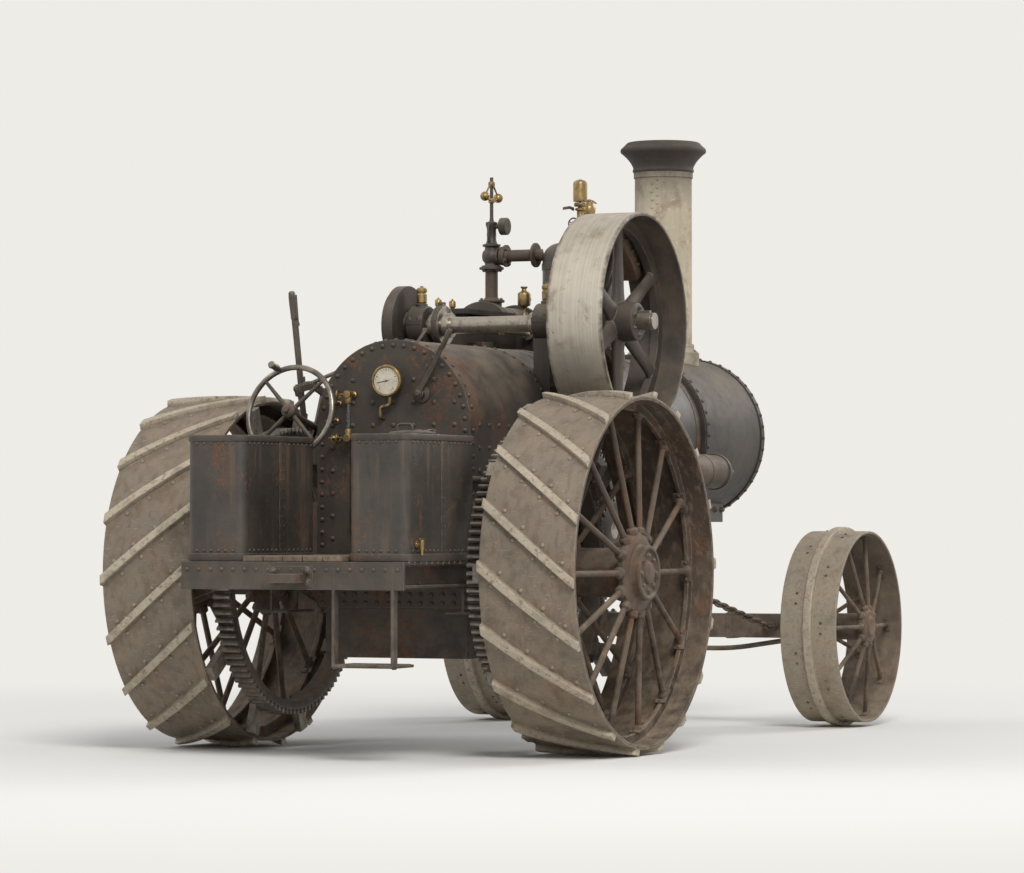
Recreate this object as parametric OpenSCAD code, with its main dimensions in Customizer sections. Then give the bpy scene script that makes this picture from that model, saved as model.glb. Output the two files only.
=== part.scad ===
// Steam traction engine of the side-crank kind, about 1905, standing on its own wheels.
// Frame: +X runs forward to the smokebox, +Y to the engine's left, +Z up, all in millimetres.
// The origin is on the ground, under the middle of the engine's length and width.

/* [Layout] */
// Stack centre back to the drawbar's rear end
rear_reach = 4280; // [4200:10:4500]
// Stack centre forward to the front axle
front_axle_ahead = 100; // [60:10:160]
// Stack centre back to the crankshaft
crank_behind = 2200; // [2160:10:2220]
// Stack centre back to the rear axle
rear_axle_behind = 2980; // [2970:10:3010]
// Height of the boiler's centre line
boiler_z = 1500; // [1490:5:1530]

/* [Boiler] */
// Radius of the barrel over its lagging
barrel_r = 390; // [375:5:395]
// Radius of the smokebox
smokebox_r = 415; // [405:5:425]
// Smokebox front face ahead of the stack centre
smokebox_front = 380; // [340:10:420]
// Smokebox rear edge behind the stack centre
smokebox_back = 420; // [380:10:460]
// Thickness of the smokebox plate
smokebox_wall = 12; // [10:1:16]
// Bottom edge of the firebox
firebox_bottom = 660; // [640:10:700]
// Firebox length, front face to backhead
firebox_len = 900; // [850:10:940]
// Wall of the firebox with its water leg
water_leg = 90; // [80:5:100]
// Steam dome radius
dome_r = 190; // [170:5:195]
// Steam dome centre behind the stack
dome_behind = 1070; // [1040:5:1080]
// Height of the dome's crown
dome_top = 2470; // [2420:10:2520]

/* [Stack] */
// Height of the stack's rim above the ground
stack_top = 3050; // [2900:10:3200]
// Outer radius of the stack tube
stack_r = 150; // [140:2:160]
// Radius of the cap at its widest
cap_r = 225; // [210:5:240]
// Height of the cap casting
cap_h = 160; // [150:5:190]
// Thickness of the stack tube
stack_wall = 10; // [6:1:12]

/* [Engine] */
// Height of the crankshaft
crank_z = 2000; // [1990:5:2010]
// Radius of the crankshaft
crank_shaft_r = 40; // [34:1:42]
// Crank throw, half the piston stroke
throw = 127; // [120:1:130]
// Connecting rod, pin to pin
rod_len = 660; // [640:5:680]
// Sideways place of the cylinder's centre line
cyl_y = 480; // [475:1:490]
// Outer radius of the cylinder
cyl_r = 150; // [140:2:155]
// Cylinder barrel length
cyl_len = 400; // [380:10:420]

/* [Belt wheel] */
// Radius of the belt wheel
flywheel_r = 515; // [500:5:520]
// Width of the belt wheel's face
flywheel_w = 280; // [250:5:290]
// Belt wheel's outer edge from the centre plane
flywheel_out = 840; // [835:5:850]

/* [Gears] */
// Teeth on the clutch pinion
clutch_teeth = 22; // [22:1:22]
// Teeth on the intermediate gear
middle_teeth = 53; // [53:1:53]
// Teeth on the differential gear
diff_teeth = 80; // [80:1:80]
// Module of the bull gears
slow_module = 12; // [12:1:12]
// Teeth on the bull gears
bull_teeth = 110; // [110:1:110]
// Teeth on the bull pinions
pinion_teeth = 25; // [25:1:25]
// Face width of the fast gears
fast_face = 95; // [85:5:100]
// Face width of the bull gears
slow_face = 88; // [80:2:90]
// Height of the countershaft
counter_z = 1015; // [1005:5:1025]
// Radius of the countershaft
counter_r = 40; // [34:1:42]

/* [Rear wheels] */
// Radius of the rear wheels over the lug tips
rear_r = 825; // [815:5:830]
// Rim width
rear_w = 460; // [420:10:500]
// Inner edge of the rim from the centre plane
rear_in = 722; // [718:2:740]
// How far the lugs stand off the rim
lug_h = 28; // [20:2:32]
// Lugs on a rear wheel
lug_count = 18; // [16:1:20]
// Slant of the lugs from the axle's direction
lug_slant = 38; // [30:1:42]
// Radius of the rear stub axles
rear_axle_r = 60; // [50:2:65]

/* [Front wheels] */
// Radius of the front wheels over the guide band
front_r = 515; // [500:5:525]
// Rim width
front_w = 300; // [290:5:310]
// Outer edge of the rim from the centre plane
front_out = 1110; // [1100:5:1130]
// Height of the guide band
band_h = 22; // [16:2:26]
// Radius of the front spindles
spindle_r = 34; // [28:1:36]
// Radius of the king pin
king_r = 30; // [25:1:34]

/* [Platform] */
// Height of the deck's upper face
deck_z = 880; // [860:5:900]
// Half the deck's width
deck_half = 550; // [530:5:560]
// Length of the water tank and the fuel bunker
tank_len = 690; // [650:10:720]
// Width of the water tank and the fuel bunker
tank_w = 290; // [270:5:300]
// Height of the water tank and the fuel bunker
tank_h = 560; // [520:10:600]
// How far the drawbar stands out behind the platform
drawbar_len = 110; // [100:5:120]
// Radius of the drawbar's pin hole
drawbar_hole_r = 18; // [14:1:22]

/* [Hidden] */
$fn = 96;

run_gap = 0.1;
seat_gap = 0.3;
weld_gap = 0.02;
open_gap = 5;
iron = "#4a4440";
dark = "#2f2b29";
steel = "#8d8479";
ash = "#9c8d74";
brass = "#a98b4a";

// Places along the engine, from the driving dimensions
front_reach = front_axle_ahead + front_r;
stack_x = (rear_reach - front_reach) / 2;
front_axle_x = stack_x + front_axle_ahead;
crank_x = stack_x - crank_behind;
rear_axle_x = stack_x - rear_axle_behind;
dome_x = stack_x - dome_behind;
tow_x = stack_x - rear_reach;
deck_back = tow_x + drawbar_len;
smokebox_x0 = stack_x - smokebox_back;
smokebox_x1 = stack_x + smokebox_front;

// Pitch radii and shaft places of the gears. The fast gears fill the distance from shaft to shaft
bull_r = slow_module * bull_teeth / 2;
pinion_r = slow_module * pinion_teeth / 2;
counter_x = rear_axle_x + sqrt(pow(bull_r + pinion_r, 2) - pow(counter_z - rear_r, 2));
fast_dx = counter_x - crank_x;
fast_dz = counter_z - crank_z;
fast_dist = sqrt(pow(fast_dx, 2) + pow(fast_dz, 2));
modules_apart = 98.5;
fast_module = fast_dist / modules_apart;
clutch_r = fast_module * clutch_teeth / 2;
middle_r = fast_module * middle_teeth / 2;
diff_r = fast_module * diff_teeth / 2;
firebox_x1 = counter_x - counter_r - 40;
firebox_x0 = firebox_x1 - firebox_len;

// The intermediate gear's shaft meets the clutch pinion and the differential gear at once
fast_a = clutch_r + middle_r;
fast_b = middle_r + diff_r;
fast_t = (pow(fast_dist, 2) + pow(fast_a, 2) - pow(fast_b, 2)) / (2 * fast_dist);
fast_h = sqrt(pow(fast_a, 2) - pow(fast_t, 2));
middle_x = crank_x + fast_dx / fast_dist * fast_t - fast_dz / fast_dist * fast_h;
middle_z = crank_z + fast_dz / fast_dist * fast_t + fast_dx / fast_dist * fast_h;

// Sideways places: the fast gears stand between the boiler and the belt wheel
flywheel_in = flywheel_out - flywheel_w;
fast_in = 440;
fast_out = fast_in + fast_face;
slow_in = 600;
slow_out = slow_in + slow_face;
bearing_in = 290;
bearing_out = 375;
firebox_half = barrel_r + 2;
cyl_x1 = crank_x + throw + rod_len + 620;
cyl_x0 = cyl_x1 - cyl_len;
cross_x = crank_x + throw + rod_len;

// A cylinder along Y between two places, at x and z
module y_cyl(r, y0, y1, x, z) {
    translate([x, min(y0, y1), z]) rotate([-90, 0, 0]) cylinder(r = r, h = abs(y1 - y0));
}

// A cylinder along X between two places, at y and z
module x_cyl(r, x0, x1, y, z) {
    translate([x0, y, z]) rotate([0, 90, 0]) cylinder(r = r, h = x1 - x0);
}

// A box between two corners
module span(a, b) {
    translate([min(a[0], b[0]), min(a[1], b[1]), min(a[2], b[2])])
        cube([abs(b[0] - a[0]), abs(b[1] - a[1]), abs(b[2] - a[2])]);
}

// An upright block with round corners, standing on z0
module round_block(x0, x1, y0, y1, z0, z1, r) {
    translate([0, 0, z0]) linear_extrude(z1 - z0) {
        translate([x0 + r, y0]) square([x1 - x0 - 2 * r, y1 - y0]);
        translate([x0, y0 + r]) square([x1 - x0, y1 - y0 - 2 * r]);
        for (x = [x0 + r, x1 - r], y = [y0 + r, y1 - r]) translate([x, y]) circle(r);
    }
}

// A round bar from one point to another
module bar(r, a, b) {
    d = b - a;
    len = norm(d);
    translate(a) rotate([0, acos(d[2] / len), atan2(d[1], d[0])]) cylinder(r = r, h = len);
}

// Involute of a circle, in degrees
function inv(a) = tan(a) * 180 / PI - a;

// Half the angle that a tooth fills at radius r, for n teeth of pitch radius rp
function tooth_half(r, rp, n) =
    let (base = rp * cos(20), play = 0.94)
    90 / n * play + inv(20) - (r > base ? inv(acos(base / r)) : 0);

// Outline of a spur gear with a tooth centred on angle phase
function gear_points(n, m, phase, steps) =
    let (rp = n * m / 2, r0 = rp - 1.2 * m, r1 = rp + 0.85 * m)
    [for (i = [0 : n - 1], side = [-1, 1], k = [0 : steps])
        let (r = side < 0 ? r0 + (r1 - r0) * k / steps : r1 - (r1 - r0) * k / steps,
             a = phase + i * 360 / n + side * tooth_half(r, rp, n))
        [r * cos(a), r * sin(a)]];

// Phase of a gear that meets another: the line from driver to follower runs at angle phi
function mesh_phase(phi, phase, n_driver, n_follower) =
    phi + 180 - 180 / n_follower + (phi - phase) * n_driver / n_follower;

// A spur gear along Y, from y0 to y1, bored out to radius bore
module spur(n, m, phase, steps, y0, y1, x, z, bore) {
    translate([x, max(y0, y1), z]) rotate([90, 0, 0]) linear_extrude(abs(y1 - y0)) difference() {
        polygon(gear_points(n, m, phase, steps));
        circle(bore);
    }
}

// Gear phases, set out from the countershaft
diff_phase = 0;
diff_to_middle = atan2(middle_z - counter_z, middle_x - counter_x);
middle_phase = mesh_phase(diff_to_middle, diff_phase, diff_teeth, middle_teeth);
middle_to_clutch = atan2(crank_z - middle_z, crank_x - middle_x);
clutch_phase = mesh_phase(middle_to_clutch, middle_phase, middle_teeth, clutch_teeth);
bull_phase = 0;
bull_to_pinion = atan2(counter_z - rear_r, counter_x - rear_axle_x);
pinion_phase = mesh_phase(bull_to_pinion, bull_phase, bull_teeth, pinion_teeth);

// The space that the boiler fills, for whatever is fitted against it
module boiler_space() {
    x_cyl(barrel_r, firebox_x0 - 50, stack_x, 0, boiler_z);
    x_cyl(smokebox_r, smokebox_x0, smokebox_x1, 0, boiler_z);
    x_cyl(firebox_half, firebox_x0, firebox_x1, 0, boiler_z);
    span([firebox_x0, -firebox_half, firebox_bottom], [firebox_x1, firebox_half, boiler_z]);
}

// Smokebox: rolled plate shell, open at the flue, with a ring plate in front
door_hole_r = 290;
tube_plate = 20;
module smokebox() color(dark) {
    difference() {
        x_cyl(smokebox_r, smokebox_x0, smokebox_x1, 0, boiler_z);
        x_cyl(smokebox_r - smokebox_wall, smokebox_x0 + tube_plate, smokebox_x1 - 16, 0, boiler_z);
        x_cyl(door_hole_r, smokebox_x1 - 20, smokebox_x1 + 20, 0, boiler_z);
        translate([stack_x, 0, boiler_z]) cylinder(r = stack_r - stack_wall, h = 600);
    }
    // hinge lugs on the engine's left
    for (z = [-150, 150]) difference() {
        span([smokebox_x1, 330, boiler_z + z - 20], [smokebox_x1 + 40, 362, boiler_z + z + 20]);
        translate([door_hinge_x, door_hinge_y, boiler_z + z - 30]) cylinder(r = 9, h = 60);
    }
}

door_r = 320;
door_hinge_x = smokebox_x1 + 22;
door_hinge_y = 344;
module smokebox_door() color(iron) difference() {
    union() {
        x_cyl(door_r, smokebox_x1 + seat_gap, smokebox_x1 + 24, 0, boiler_z);
        translate([smokebox_x1 + 24, 0, boiler_z]) rotate([0, 90, 0])
            cylinder(r1 = door_r - 25, r2 = 120, h = 28);
        x_cyl(34, smokebox_x1 + 50, smokebox_x1 + 75, 0, boiler_z);
        // hinge straps and the pin through the lugs
        for (z = [-150, 150]) {
            span([smokebox_x1 + 24, -170, boiler_z + z - 16], [smokebox_x1 + 36, 318, boiler_z + z + 16]);
        }
        translate([door_hinge_x, door_hinge_y, boiler_z - 185]) cylinder(r = 8.9, h = 370);
        for (z = [-112, 112]) span([smokebox_x1 + 14, 300, boiler_z + z - 16],
            [smokebox_x1 + 30, door_hinge_y, boiler_z + z + 16]);
    }
}

// Stack: base casting saddled on the smokebox, and the rolled tube
stack_seat_z = boiler_z + smokebox_r;
module stack() color(ash) difference() {
    union() {
        translate([stack_x, 0, boiler_z + smokebox_r - 70]) cylinder(r = stack_r + 38, h = 95);
        translate([stack_x, 0, stack_seat_z + 25]) cylinder(r1 = stack_r + 38, r2 = stack_r + 6, h = 30);
        translate([stack_x, 0, stack_seat_z]) cylinder(r = stack_r, h = stack_top - cap_h - stack_seat_z);
    }
    x_cyl(smokebox_r, smokebox_x0, smokebox_x1, 0, boiler_z);
    translate([stack_x, 0, boiler_z]) cylinder(r = stack_r - stack_wall, h = stack_top);
}

// Cast cap: flares from the tube to a sharp edge and bevels in again at the top
module stack_cap() color(dark) translate([stack_x, 0, stack_top - cap_h]) rotate_extrude()
    polygon([[stack_r - stack_wall, 0], [stack_r + 6, 0], [stack_r + 14, cap_h * 0.16],
        [cap_r - 12, cap_h * 0.62], [cap_r, cap_h * 0.68], [cap_r, cap_h * 0.76],
        [cap_r * 0.84, cap_h * 0.97], [cap_r * 0.81, cap_h], [stack_r - stack_wall, cap_h]]);

// Boiler barrel in lagging sheets held by bands
hoops_back = [37.5, 372.5, 912.5, 1158.5, 1472.5];
hoop_w = 52;
hoop_t = 3.5;
module boiler_barrel() color(iron) {
    x_cyl(barrel_r, firebox_x1, smokebox_x0 - weld_gap, 0, boiler_z);
    for (back = hoops_back) {
        x_cyl(barrel_r + hoop_t, smokebox_x0 - back - hoop_w / 2, smokebox_x0 - back + hoop_w / 2, 0, boiler_z);
        // clamp lugs under the belly
        for (y = [-16, 6]) span([smokebox_x0 - back - 20, y, boiler_z - barrel_r - 28],
            [smokebox_x0 - back + 20, y + 10, boiler_z - barrel_r + 5]);
    }
}

// Firebox: outer wrapper with the furnace space, the fire hole and the open grate
fire_hole_z = 1210;
fire_hole_half = 170;
fire_hole_h = 150;
module firebox() color(dark) difference() {
    union() {
        x_cyl(firebox_half, firebox_x0, firebox_x1, 0, boiler_z);
        span([firebox_x0, -firebox_half, firebox_bottom], [firebox_x1, firebox_half, boiler_z]);
    }
    span([firebox_x0 + water_leg, -firebox_half + water_leg, firebox_bottom - 1],
        [firebox_x1 - water_leg, firebox_half - water_leg, boiler_z + 120]);
    span([firebox_x0 - 1, -fire_hole_half, fire_hole_z - fire_hole_h],
        [firebox_x0 + water_leg + 1, fire_hole_half, fire_hole_z + fire_hole_h]);
}

// Fire door: a cast plate on a hinge pin at the engine's right of the hole
fire_hinge_x = firebox_x0 - 22;
fire_hinge_y = -fire_hole_half - 50;
module fire_door() color(iron) {
    span([firebox_x0 - seat_gap - 20, -fire_hole_half - 28, fire_hole_z - fire_hole_h - 25],
        [firebox_x0 - seat_gap, fire_hole_half + 25, fire_hole_z + fire_hole_h + 25]);
    for (z = [-95, 95]) span([firebox_x0 - 28, fire_hinge_y, fire_hole_z + z - 14],
        [firebox_x0 - seat_gap - 20, 130, fire_hole_z + z + 14]);
    translate([fire_hinge_x, fire_hinge_y, fire_hole_z - 130]) cylinder(r = 9, h = 260);
}

// Ash pan: a riveted tray hung under the furnace, open towards the front
pan_depth = 230;
damper_len = 150;
module ash_pan() color(dark) {
    difference() {
        span([firebox_x0 + 30, -firebox_half + 30, firebox_bottom - pan_depth],
            [firebox_x1 - 30, firebox_half - 30, firebox_bottom]);
        span([firebox_x0 + 36, -firebox_half + 36, firebox_bottom - pan_depth + 6],
            [firebox_x1, firebox_half - 36, firebox_bottom + 1]);
    }
    // the damper plate, propped open in front on its hinge rod
    for (s = [-1, 1]) span([firebox_x1 - 36, s * (firebox_half - 36), firebox_bottom - 26],
        [firebox_x1 - 12, s * (firebox_half - 30), firebox_bottom - 2]);
    y_cyl(8, 34 - firebox_half, firebox_half - 34, firebox_x1 - 20, firebox_bottom - 14);
    span([firebox_x1 - 20, 42 - firebox_half, firebox_bottom - 18],
        [firebox_x1 - 20 + damper_len, firebox_half - 42, firebox_bottom - 11]);
}

// Steam dome with its saddle flange
module dome() color(iron) difference() {
    translate([dome_x, 0, 0]) rotate_extrude() polygon(concat(
        [[0, boiler_z], [dome_r + 35, boiler_z], [dome_r + 35, dome_seat_z], [dome_r, dome_seat_z]],
        [for (z = [dome_seat_z + 30, dome_top - 150]) each [[dome_r, z], [dome_r + hoop_t, z],
            [dome_r + hoop_t, z + 34], [dome_r, z + 34]]],
        [for (a = [0 : 10 : 90]) [dome_r - crown_r * (1 - cos(a)), dome_top - crown_r * (1 - sin(a))]],
        [[0, dome_top]]));
    x_cyl(barrel_r, firebox_x1, smokebox_x0, 0, boiler_z);
}
dome_seat_z = boiler_z + barrel_r + 12;
crown_r = 75;

// Pop safety valve and whistle on the dome's crown
whistle_top = 2780;
module dome_valves() color(brass) {
    translate([dome_x, 0, dome_top]) cylinder(r = 20, h = 170);
    translate([dome_x, 0, dome_top + 165]) cylinder(r = 36, h = whistle_top - dome_top - 165);
    translate([dome_x, 0, dome_top + 60]) cylinder(r = 30, h = 40);
    bar(14, [dome_x, 0, dome_top + 80], [dome_x + 110, 0, dome_top + 80]);
    translate([dome_x + 110, 0, dome_top + 66]) cylinder(r = 24, h = 150);
}

// Cylinder with its two covers and the steam chest on the boiler side
chest_out = cyl_y - cyl_r + 12;
chest_in = dome_r + 30;
module cylinder_casting() {
    x_cyl(cyl_r, cyl_x0, cyl_x1, cyl_y, crank_z);
    for (x = [cyl_x0, cyl_x1 - 30]) x_cyl(cyl_r + 18, x, x + 30, cyl_y, crank_z);
    x_cyl(cyl_r - 30, cyl_x1, cyl_x1 + 22, cyl_y, crank_z);
    span([cyl_x0 + 50, chest_in, crank_z - 85], [cyl_x1 - 50, chest_out + 60, crank_z + 95]);
    span([cyl_x0 + 50, chest_in - 9, crank_z - 93], [cyl_x1 - 50, chest_in + 6, crank_z + 103]);
}
oiler_x = cyl_x0 + 120;
oiler_y = chest_in + 90;
module engine_cylinder() color(iron) {
    cylinder_casting();
    // lubricator and drain cocks
    translate([oiler_x, oiler_y, crank_z + 85]) cylinder(r = 11, h = 75);
    translate([oiler_x, oiler_y, crank_z + 150]) cylinder(r = 33, h = 64);
    for (x = [cyl_x0 + 18, cyl_x1 - 18]) translate([x, cyl_y, crank_z - cyl_r - 80])
        cylinder(r = 11, h = 90);
}

// Engine frame: one bored casting from the crankshaft bearing to the cylinder, on boiler saddles
web_in = 300;
web_out = 342;
guide_x0 = cross_x - 2 * throw - 95;
guide_gap = 80;
module engine_frame() color(iron) difference() {
    union() {
        span([crank_x, web_in, crank_z - 100], [cyl_x0, web_out, crank_z + 60]);
        y_cyl(92, bearing_in, bearing_out, crank_x, crank_z);
        span([crank_x - 98, bearing_in + 2, crank_z + 2], [crank_x + 98, bearing_out - 2, crank_z + 26]);
        translate([crank_x, (bearing_in + bearing_out) / 2, crank_z + 60]) cylinder(r = 19, h = 118);
        for (z = [crank_z - guide_gap - 26, crank_z + guide_gap])
            span([guide_x0, web_in, z], [cyl_x0, cyl_y + 70, z + 26]);
        x_cyl(cyl_r + 18, cyl_x0 - 28, cyl_x0, cyl_y, crank_z);
        span([crank_x - 60, bearing_in, boiler_z + 150], [crank_x + 60, bearing_out, crank_z]);
        span([guide_x0 + 30, web_in - 70, boiler_z + 150], [guide_x0 + 150, web_out, crank_z - 60]);
        span([cyl_x0 + 60, dome_r + 45, boiler_z + 150], [cyl_x1 - 60, cyl_y, crank_z - 50]);
    }
    boiler_space();
    cylinder_casting();
    y_cyl(crank_shaft_r + run_gap, 0, 700, crank_x, crank_z);
    x_cyl(24, cyl_x0 - 40, cyl_x0 + 10, cyl_y, crank_z);
}

// Crosshead, piston rod and connecting rod at the front dead centre, and the valve rod beside them
strap_r = 55;
rod_y0 = cyl_y - 26;
rod_y1 = cyl_y + 26;
ecc_y0 = 218;
ecc_y1 = 258;
ecc_throw = 32;
ecc_r = 95;
module crosshead_rod() color(steel) {
    span([cross_x - 90, cyl_y - 60, crank_z - guide_gap + open_gap],
        [cross_x + 90, cyl_y + 60, crank_z + guide_gap - open_gap]);
    x_cyl(20, cross_x + 90, cyl_x0, cyl_y, crank_z);
    x_cyl(23, crank_x + throw + strap_r + 30, cross_x - 90, cyl_y, crank_z);
    span([crank_x + throw + strap_r + open_gap, rod_y0 + 4, crank_z - 32],
        [crank_x + throw + strap_r + 60, rod_y1 - 4, crank_z + 32]);
    span([crank_x + ecc_throw + ecc_r + open_gap, ecc_y0 + 6, crank_z - 26],
        [crank_x + ecc_throw + ecc_r + 60, ecc_y1 - 6, crank_z + 26]);
    x_cyl(14, crank_x + ecc_throw + ecc_r + 50, cyl_x0 + 50, (ecc_y0 + ecc_y1) / 2, crank_z);
}

// Crankshaft with the eccentric and its strap
module crankshaft() color(steel) {
    y_cyl(crank_shaft_r, -flywheel_out - 40, disc_in, crank_x, crank_z);
    y_cyl(ecc_r, ecc_y0, ecc_y1, crank_x + ecc_throw, crank_z);
    for (y = [-bearing_in + 12, bearing_in - 34]) y_cyl(crank_shaft_r + 16, y, y + 22, crank_x, crank_z);
    for (y = [170]) y_cyl(60, y, y + 30, crank_x, crank_z);
}

// Crank disc with its counterweight, the crank pin and the rod's strap
disc_in = 398;
disc_out = 446;
disc_r = 195;
weight_t = 16;
module crank_disc() color(iron) {
    difference() {
        union() {
            y_cyl(disc_r, disc_in, disc_out, crank_x, crank_z);
            y_cyl(70, disc_in - 14, disc_in, crank_x, crank_z);
        }
        y_cyl(crank_shaft_r, 0, disc_in, crank_x, crank_z);
    }
    // counterweight, opposite the pin
    translate([crank_x, disc_out + weight_t, crank_z]) rotate([90, 0, 0]) linear_extrude(weight_t + 4)
        polygon(concat([for (a = [105 : 7.5 : 255]) (disc_r - 17) * [cos(a), sin(a)]],
        [for (a = [255 : -7.5 : 105]) 75 * [cos(a), sin(a)]]));
    y_cyl(28, disc_out, rod_y1 + 14, crank_x + throw, crank_z);
    y_cyl(strap_r, rod_y0, rod_y1, crank_x + throw, crank_z);
}

// Belt wheel: broad flat rim, six spokes and a keyed hub
flywheel_rim = 20;
flywheel_spokes = 6;
module flywheel() color(steel) {
    mid = -(flywheel_in + flywheel_out) / 2;
    difference() {
        union() {
            difference() {
                y_cyl(flywheel_r, -flywheel_out, -flywheel_in, crank_x, crank_z);
                y_cyl(flywheel_r - flywheel_rim, -flywheel_out - 1, -flywheel_in + 1, crank_x, crank_z);
            }
            difference() {
                y_cyl(flywheel_r - flywheel_rim, mid - 20, mid + 20, crank_x, crank_z);
                y_cyl(flywheel_r - 60, mid - 21, mid + 21, crank_x, crank_z);
            }
            for (i = [0 : flywheel_spokes - 1]) translate([crank_x, mid, crank_z])
                rotate([0, i * 360 / flywheel_spokes, 0]) translate([-32, -22, 0])
                cube([64, 44, flywheel_r - 50]);
            y_cyl(95, mid - 110, mid + 110, crank_x, crank_z);
        }
        y_cyl(crank_shaft_r, -flywheel_out - 1, 0, crank_x, crank_z);
    }
}

// Clutch spider beside the belt wheel: two arms keyed on the crankshaft, each with a shoe
spider_y = -flywheel_in - 5;
shoe_y = -flywheel_in - 55;
shoe_r0 = 400;
shoe_clear = 6.5;
module clutch_spider() color(iron) difference() {
    union() {
        y_cyl(76, spider_y - 20, spider_y + 19, crank_x, crank_z);
        for (turn = [31.5, 211.5]) translate([crank_x, 0, crank_z]) rotate([0, turn, 0]) {
            translate([-30, spider_y - 10, 40]) cube([60, 20, shoe_r0 - 10]);
            translate([0, shoe_y + 40, 0]) rotate([90, 0, 0]) linear_extrude(80) polygon(concat(
                [for (a = [64 : 4 : 116]) (flywheel_r - flywheel_rim - shoe_clear) * [cos(a), sin(a)]],
                [for (a = [116 : -4 : 64]) shoe_r0 * [cos(a), sin(a)]]));
        }
    }
    y_cyl(crank_shaft_r, spider_y - 30, spider_y + 30, crank_x, crank_z);
}

// Clutch pinion, loose on the crankshaft until the shoes grip the belt wheel
module clutch_pinion() color(iron) {
    spur(clutch_teeth, fast_module, clutch_phase, 4, -fast_out, -fast_in, crank_x, crank_z,
        crank_shaft_r + run_gap);
}

// Intermediate gear on a stub bracketed from the barrel
middle_pin_r = 35;
module intermediate_gear() color(iron) difference() {
    union() {
        spur(middle_teeth, fast_module, middle_phase, 3, -fast_out, -fast_in, middle_x, middle_z,
            middle_r - 50);
        gear_spider(middle_r - 45, 5, -fast_out, -fast_in, middle_x, middle_z, 70);
    }
    y_cyl(middle_pin_r + run_gap, -fast_out - 1, -fast_in + 1, middle_x, middle_z);
}

// Hub and arms inside a gear's rim
module gear_spider(r, arms, y0, y1, x, z, hub_r) {
    mid = (y0 + y1) / 2;
    y_cyl(hub_r, y0, y1, x, z);
    for (i = [0 : arms - 1]) translate([x, mid, z]) rotate([0, i * 360 / arms, 0])
        translate([-24, -18, 0]) cube([48, 36, r]);
}

// Differential gear, loose on the countershaft, with its bevel housing
module differential_gear() color(iron) difference() {
    union() {
        spur(diff_teeth, fast_module, diff_phase, 3, -fast_out, -fast_in, counter_x, counter_z,
            diff_r - 50);
        gear_spider(diff_r - 45, 6, -fast_out, -fast_in, counter_x, counter_z, 110);
    }
    y_cyl(counter_r + run_gap, -fast_out - 1, -fast_in + 1, counter_x, counter_z);
}

// Brackets that carry the crankshaft's right end, the intermediate gear and the countershaft
module shaft_brackets() color(iron) difference() {
    union() {
        y_cyl(88, -bearing_out, -bearing_in, crank_x, crank_z);
        span([crank_x - 98, 2 - bearing_out, crank_z + 2], [crank_x + 98, -bearing_in - 2, crank_z + 26]);
        translate([crank_x, -(bearing_in + bearing_out) / 2, crank_z + 60]) cylinder(r = 19, h = 118);
        span([crank_x - 62, -bearing_out, boiler_z + 100], [crank_x + 62, -bearing_in, crank_z]);
        for (s = [-1, 1]) {
            y_cyl(78, s * bearing_in, s * bearing_out, counter_x, counter_z);
            span([counter_x - 36, s * bearing_in, counter_z],
                [counter_x + 60, s * bearing_out, boiler_z - 100]);
        }
        span([middle_x - 90, -420, middle_z - 120], [middle_x + 90, -300, middle_z + 60]);
        y_cyl(middle_pin_r, -fast_out - 15, -300, middle_x, middle_z);
        y_cyl(52, -fast_out - 15, -fast_out - 6, middle_x, middle_z);
    }
    boiler_space();
    y_cyl(crank_shaft_r + run_gap, -700, 0, crank_x, crank_z);
    y_cyl(counter_r + run_gap, -700, 700, counter_x, counter_z);
}

// Countershaft, from pinion to pinion under the barrel
module countershaft() color(steel) {
    y_cyl(counter_r, -slow_out + 8, slow_out - 8, counter_x, counter_z);
    for (s = [-1, 1]) y_cyl(counter_r + 18, s * (bearing_in - 6), s * (bearing_in - 30), counter_x, counter_z);
}

// Bull pinions: the left one is keyed on the countershaft, the right one turns on it
module bull_pinion(side, bore) difference() {
    union() {
        spur(pinion_teeth, slow_module, pinion_phase, 4, side * (slow_in + 4), side * (slow_out - 8),
            counter_x, counter_z, 60);
        y_cyl(75, side * (fast_out + 12), side * (slow_out - 8), counter_x, counter_z);
    }
    y_cyl(bore, -900, 900, counter_x, counter_z);
}
module bull_pinion_left() color(iron) bull_pinion(1, counter_r);
module bull_pinion_right() color(iron) bull_pinion(-1, counter_r + run_gap);

// Stub axles on broad brackets against the firebox sides
axle_plate = 230;
module rear_axle() color(iron) {
    for (s = [-1, 1]) {
        y_cyl(rear_axle_r, s * firebox_half, s * (rear_in + rear_w - 20), rear_axle_x, rear_r);
        y_cyl(150, s * firebox_half, s * (firebox_half + 60), rear_axle_x, rear_r);
        y_cyl(95, s * firebox_half, s * (slow_in - 70), rear_axle_x, rear_r);
        span([max(rear_axle_x - axle_plate, firebox_x0 + 5), s * firebox_half, rear_r - axle_plate / 2],
            [rear_axle_x + axle_plate, s * (firebox_half + 34), rear_r + axle_plate * 1.4]);
    }
}

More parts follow.
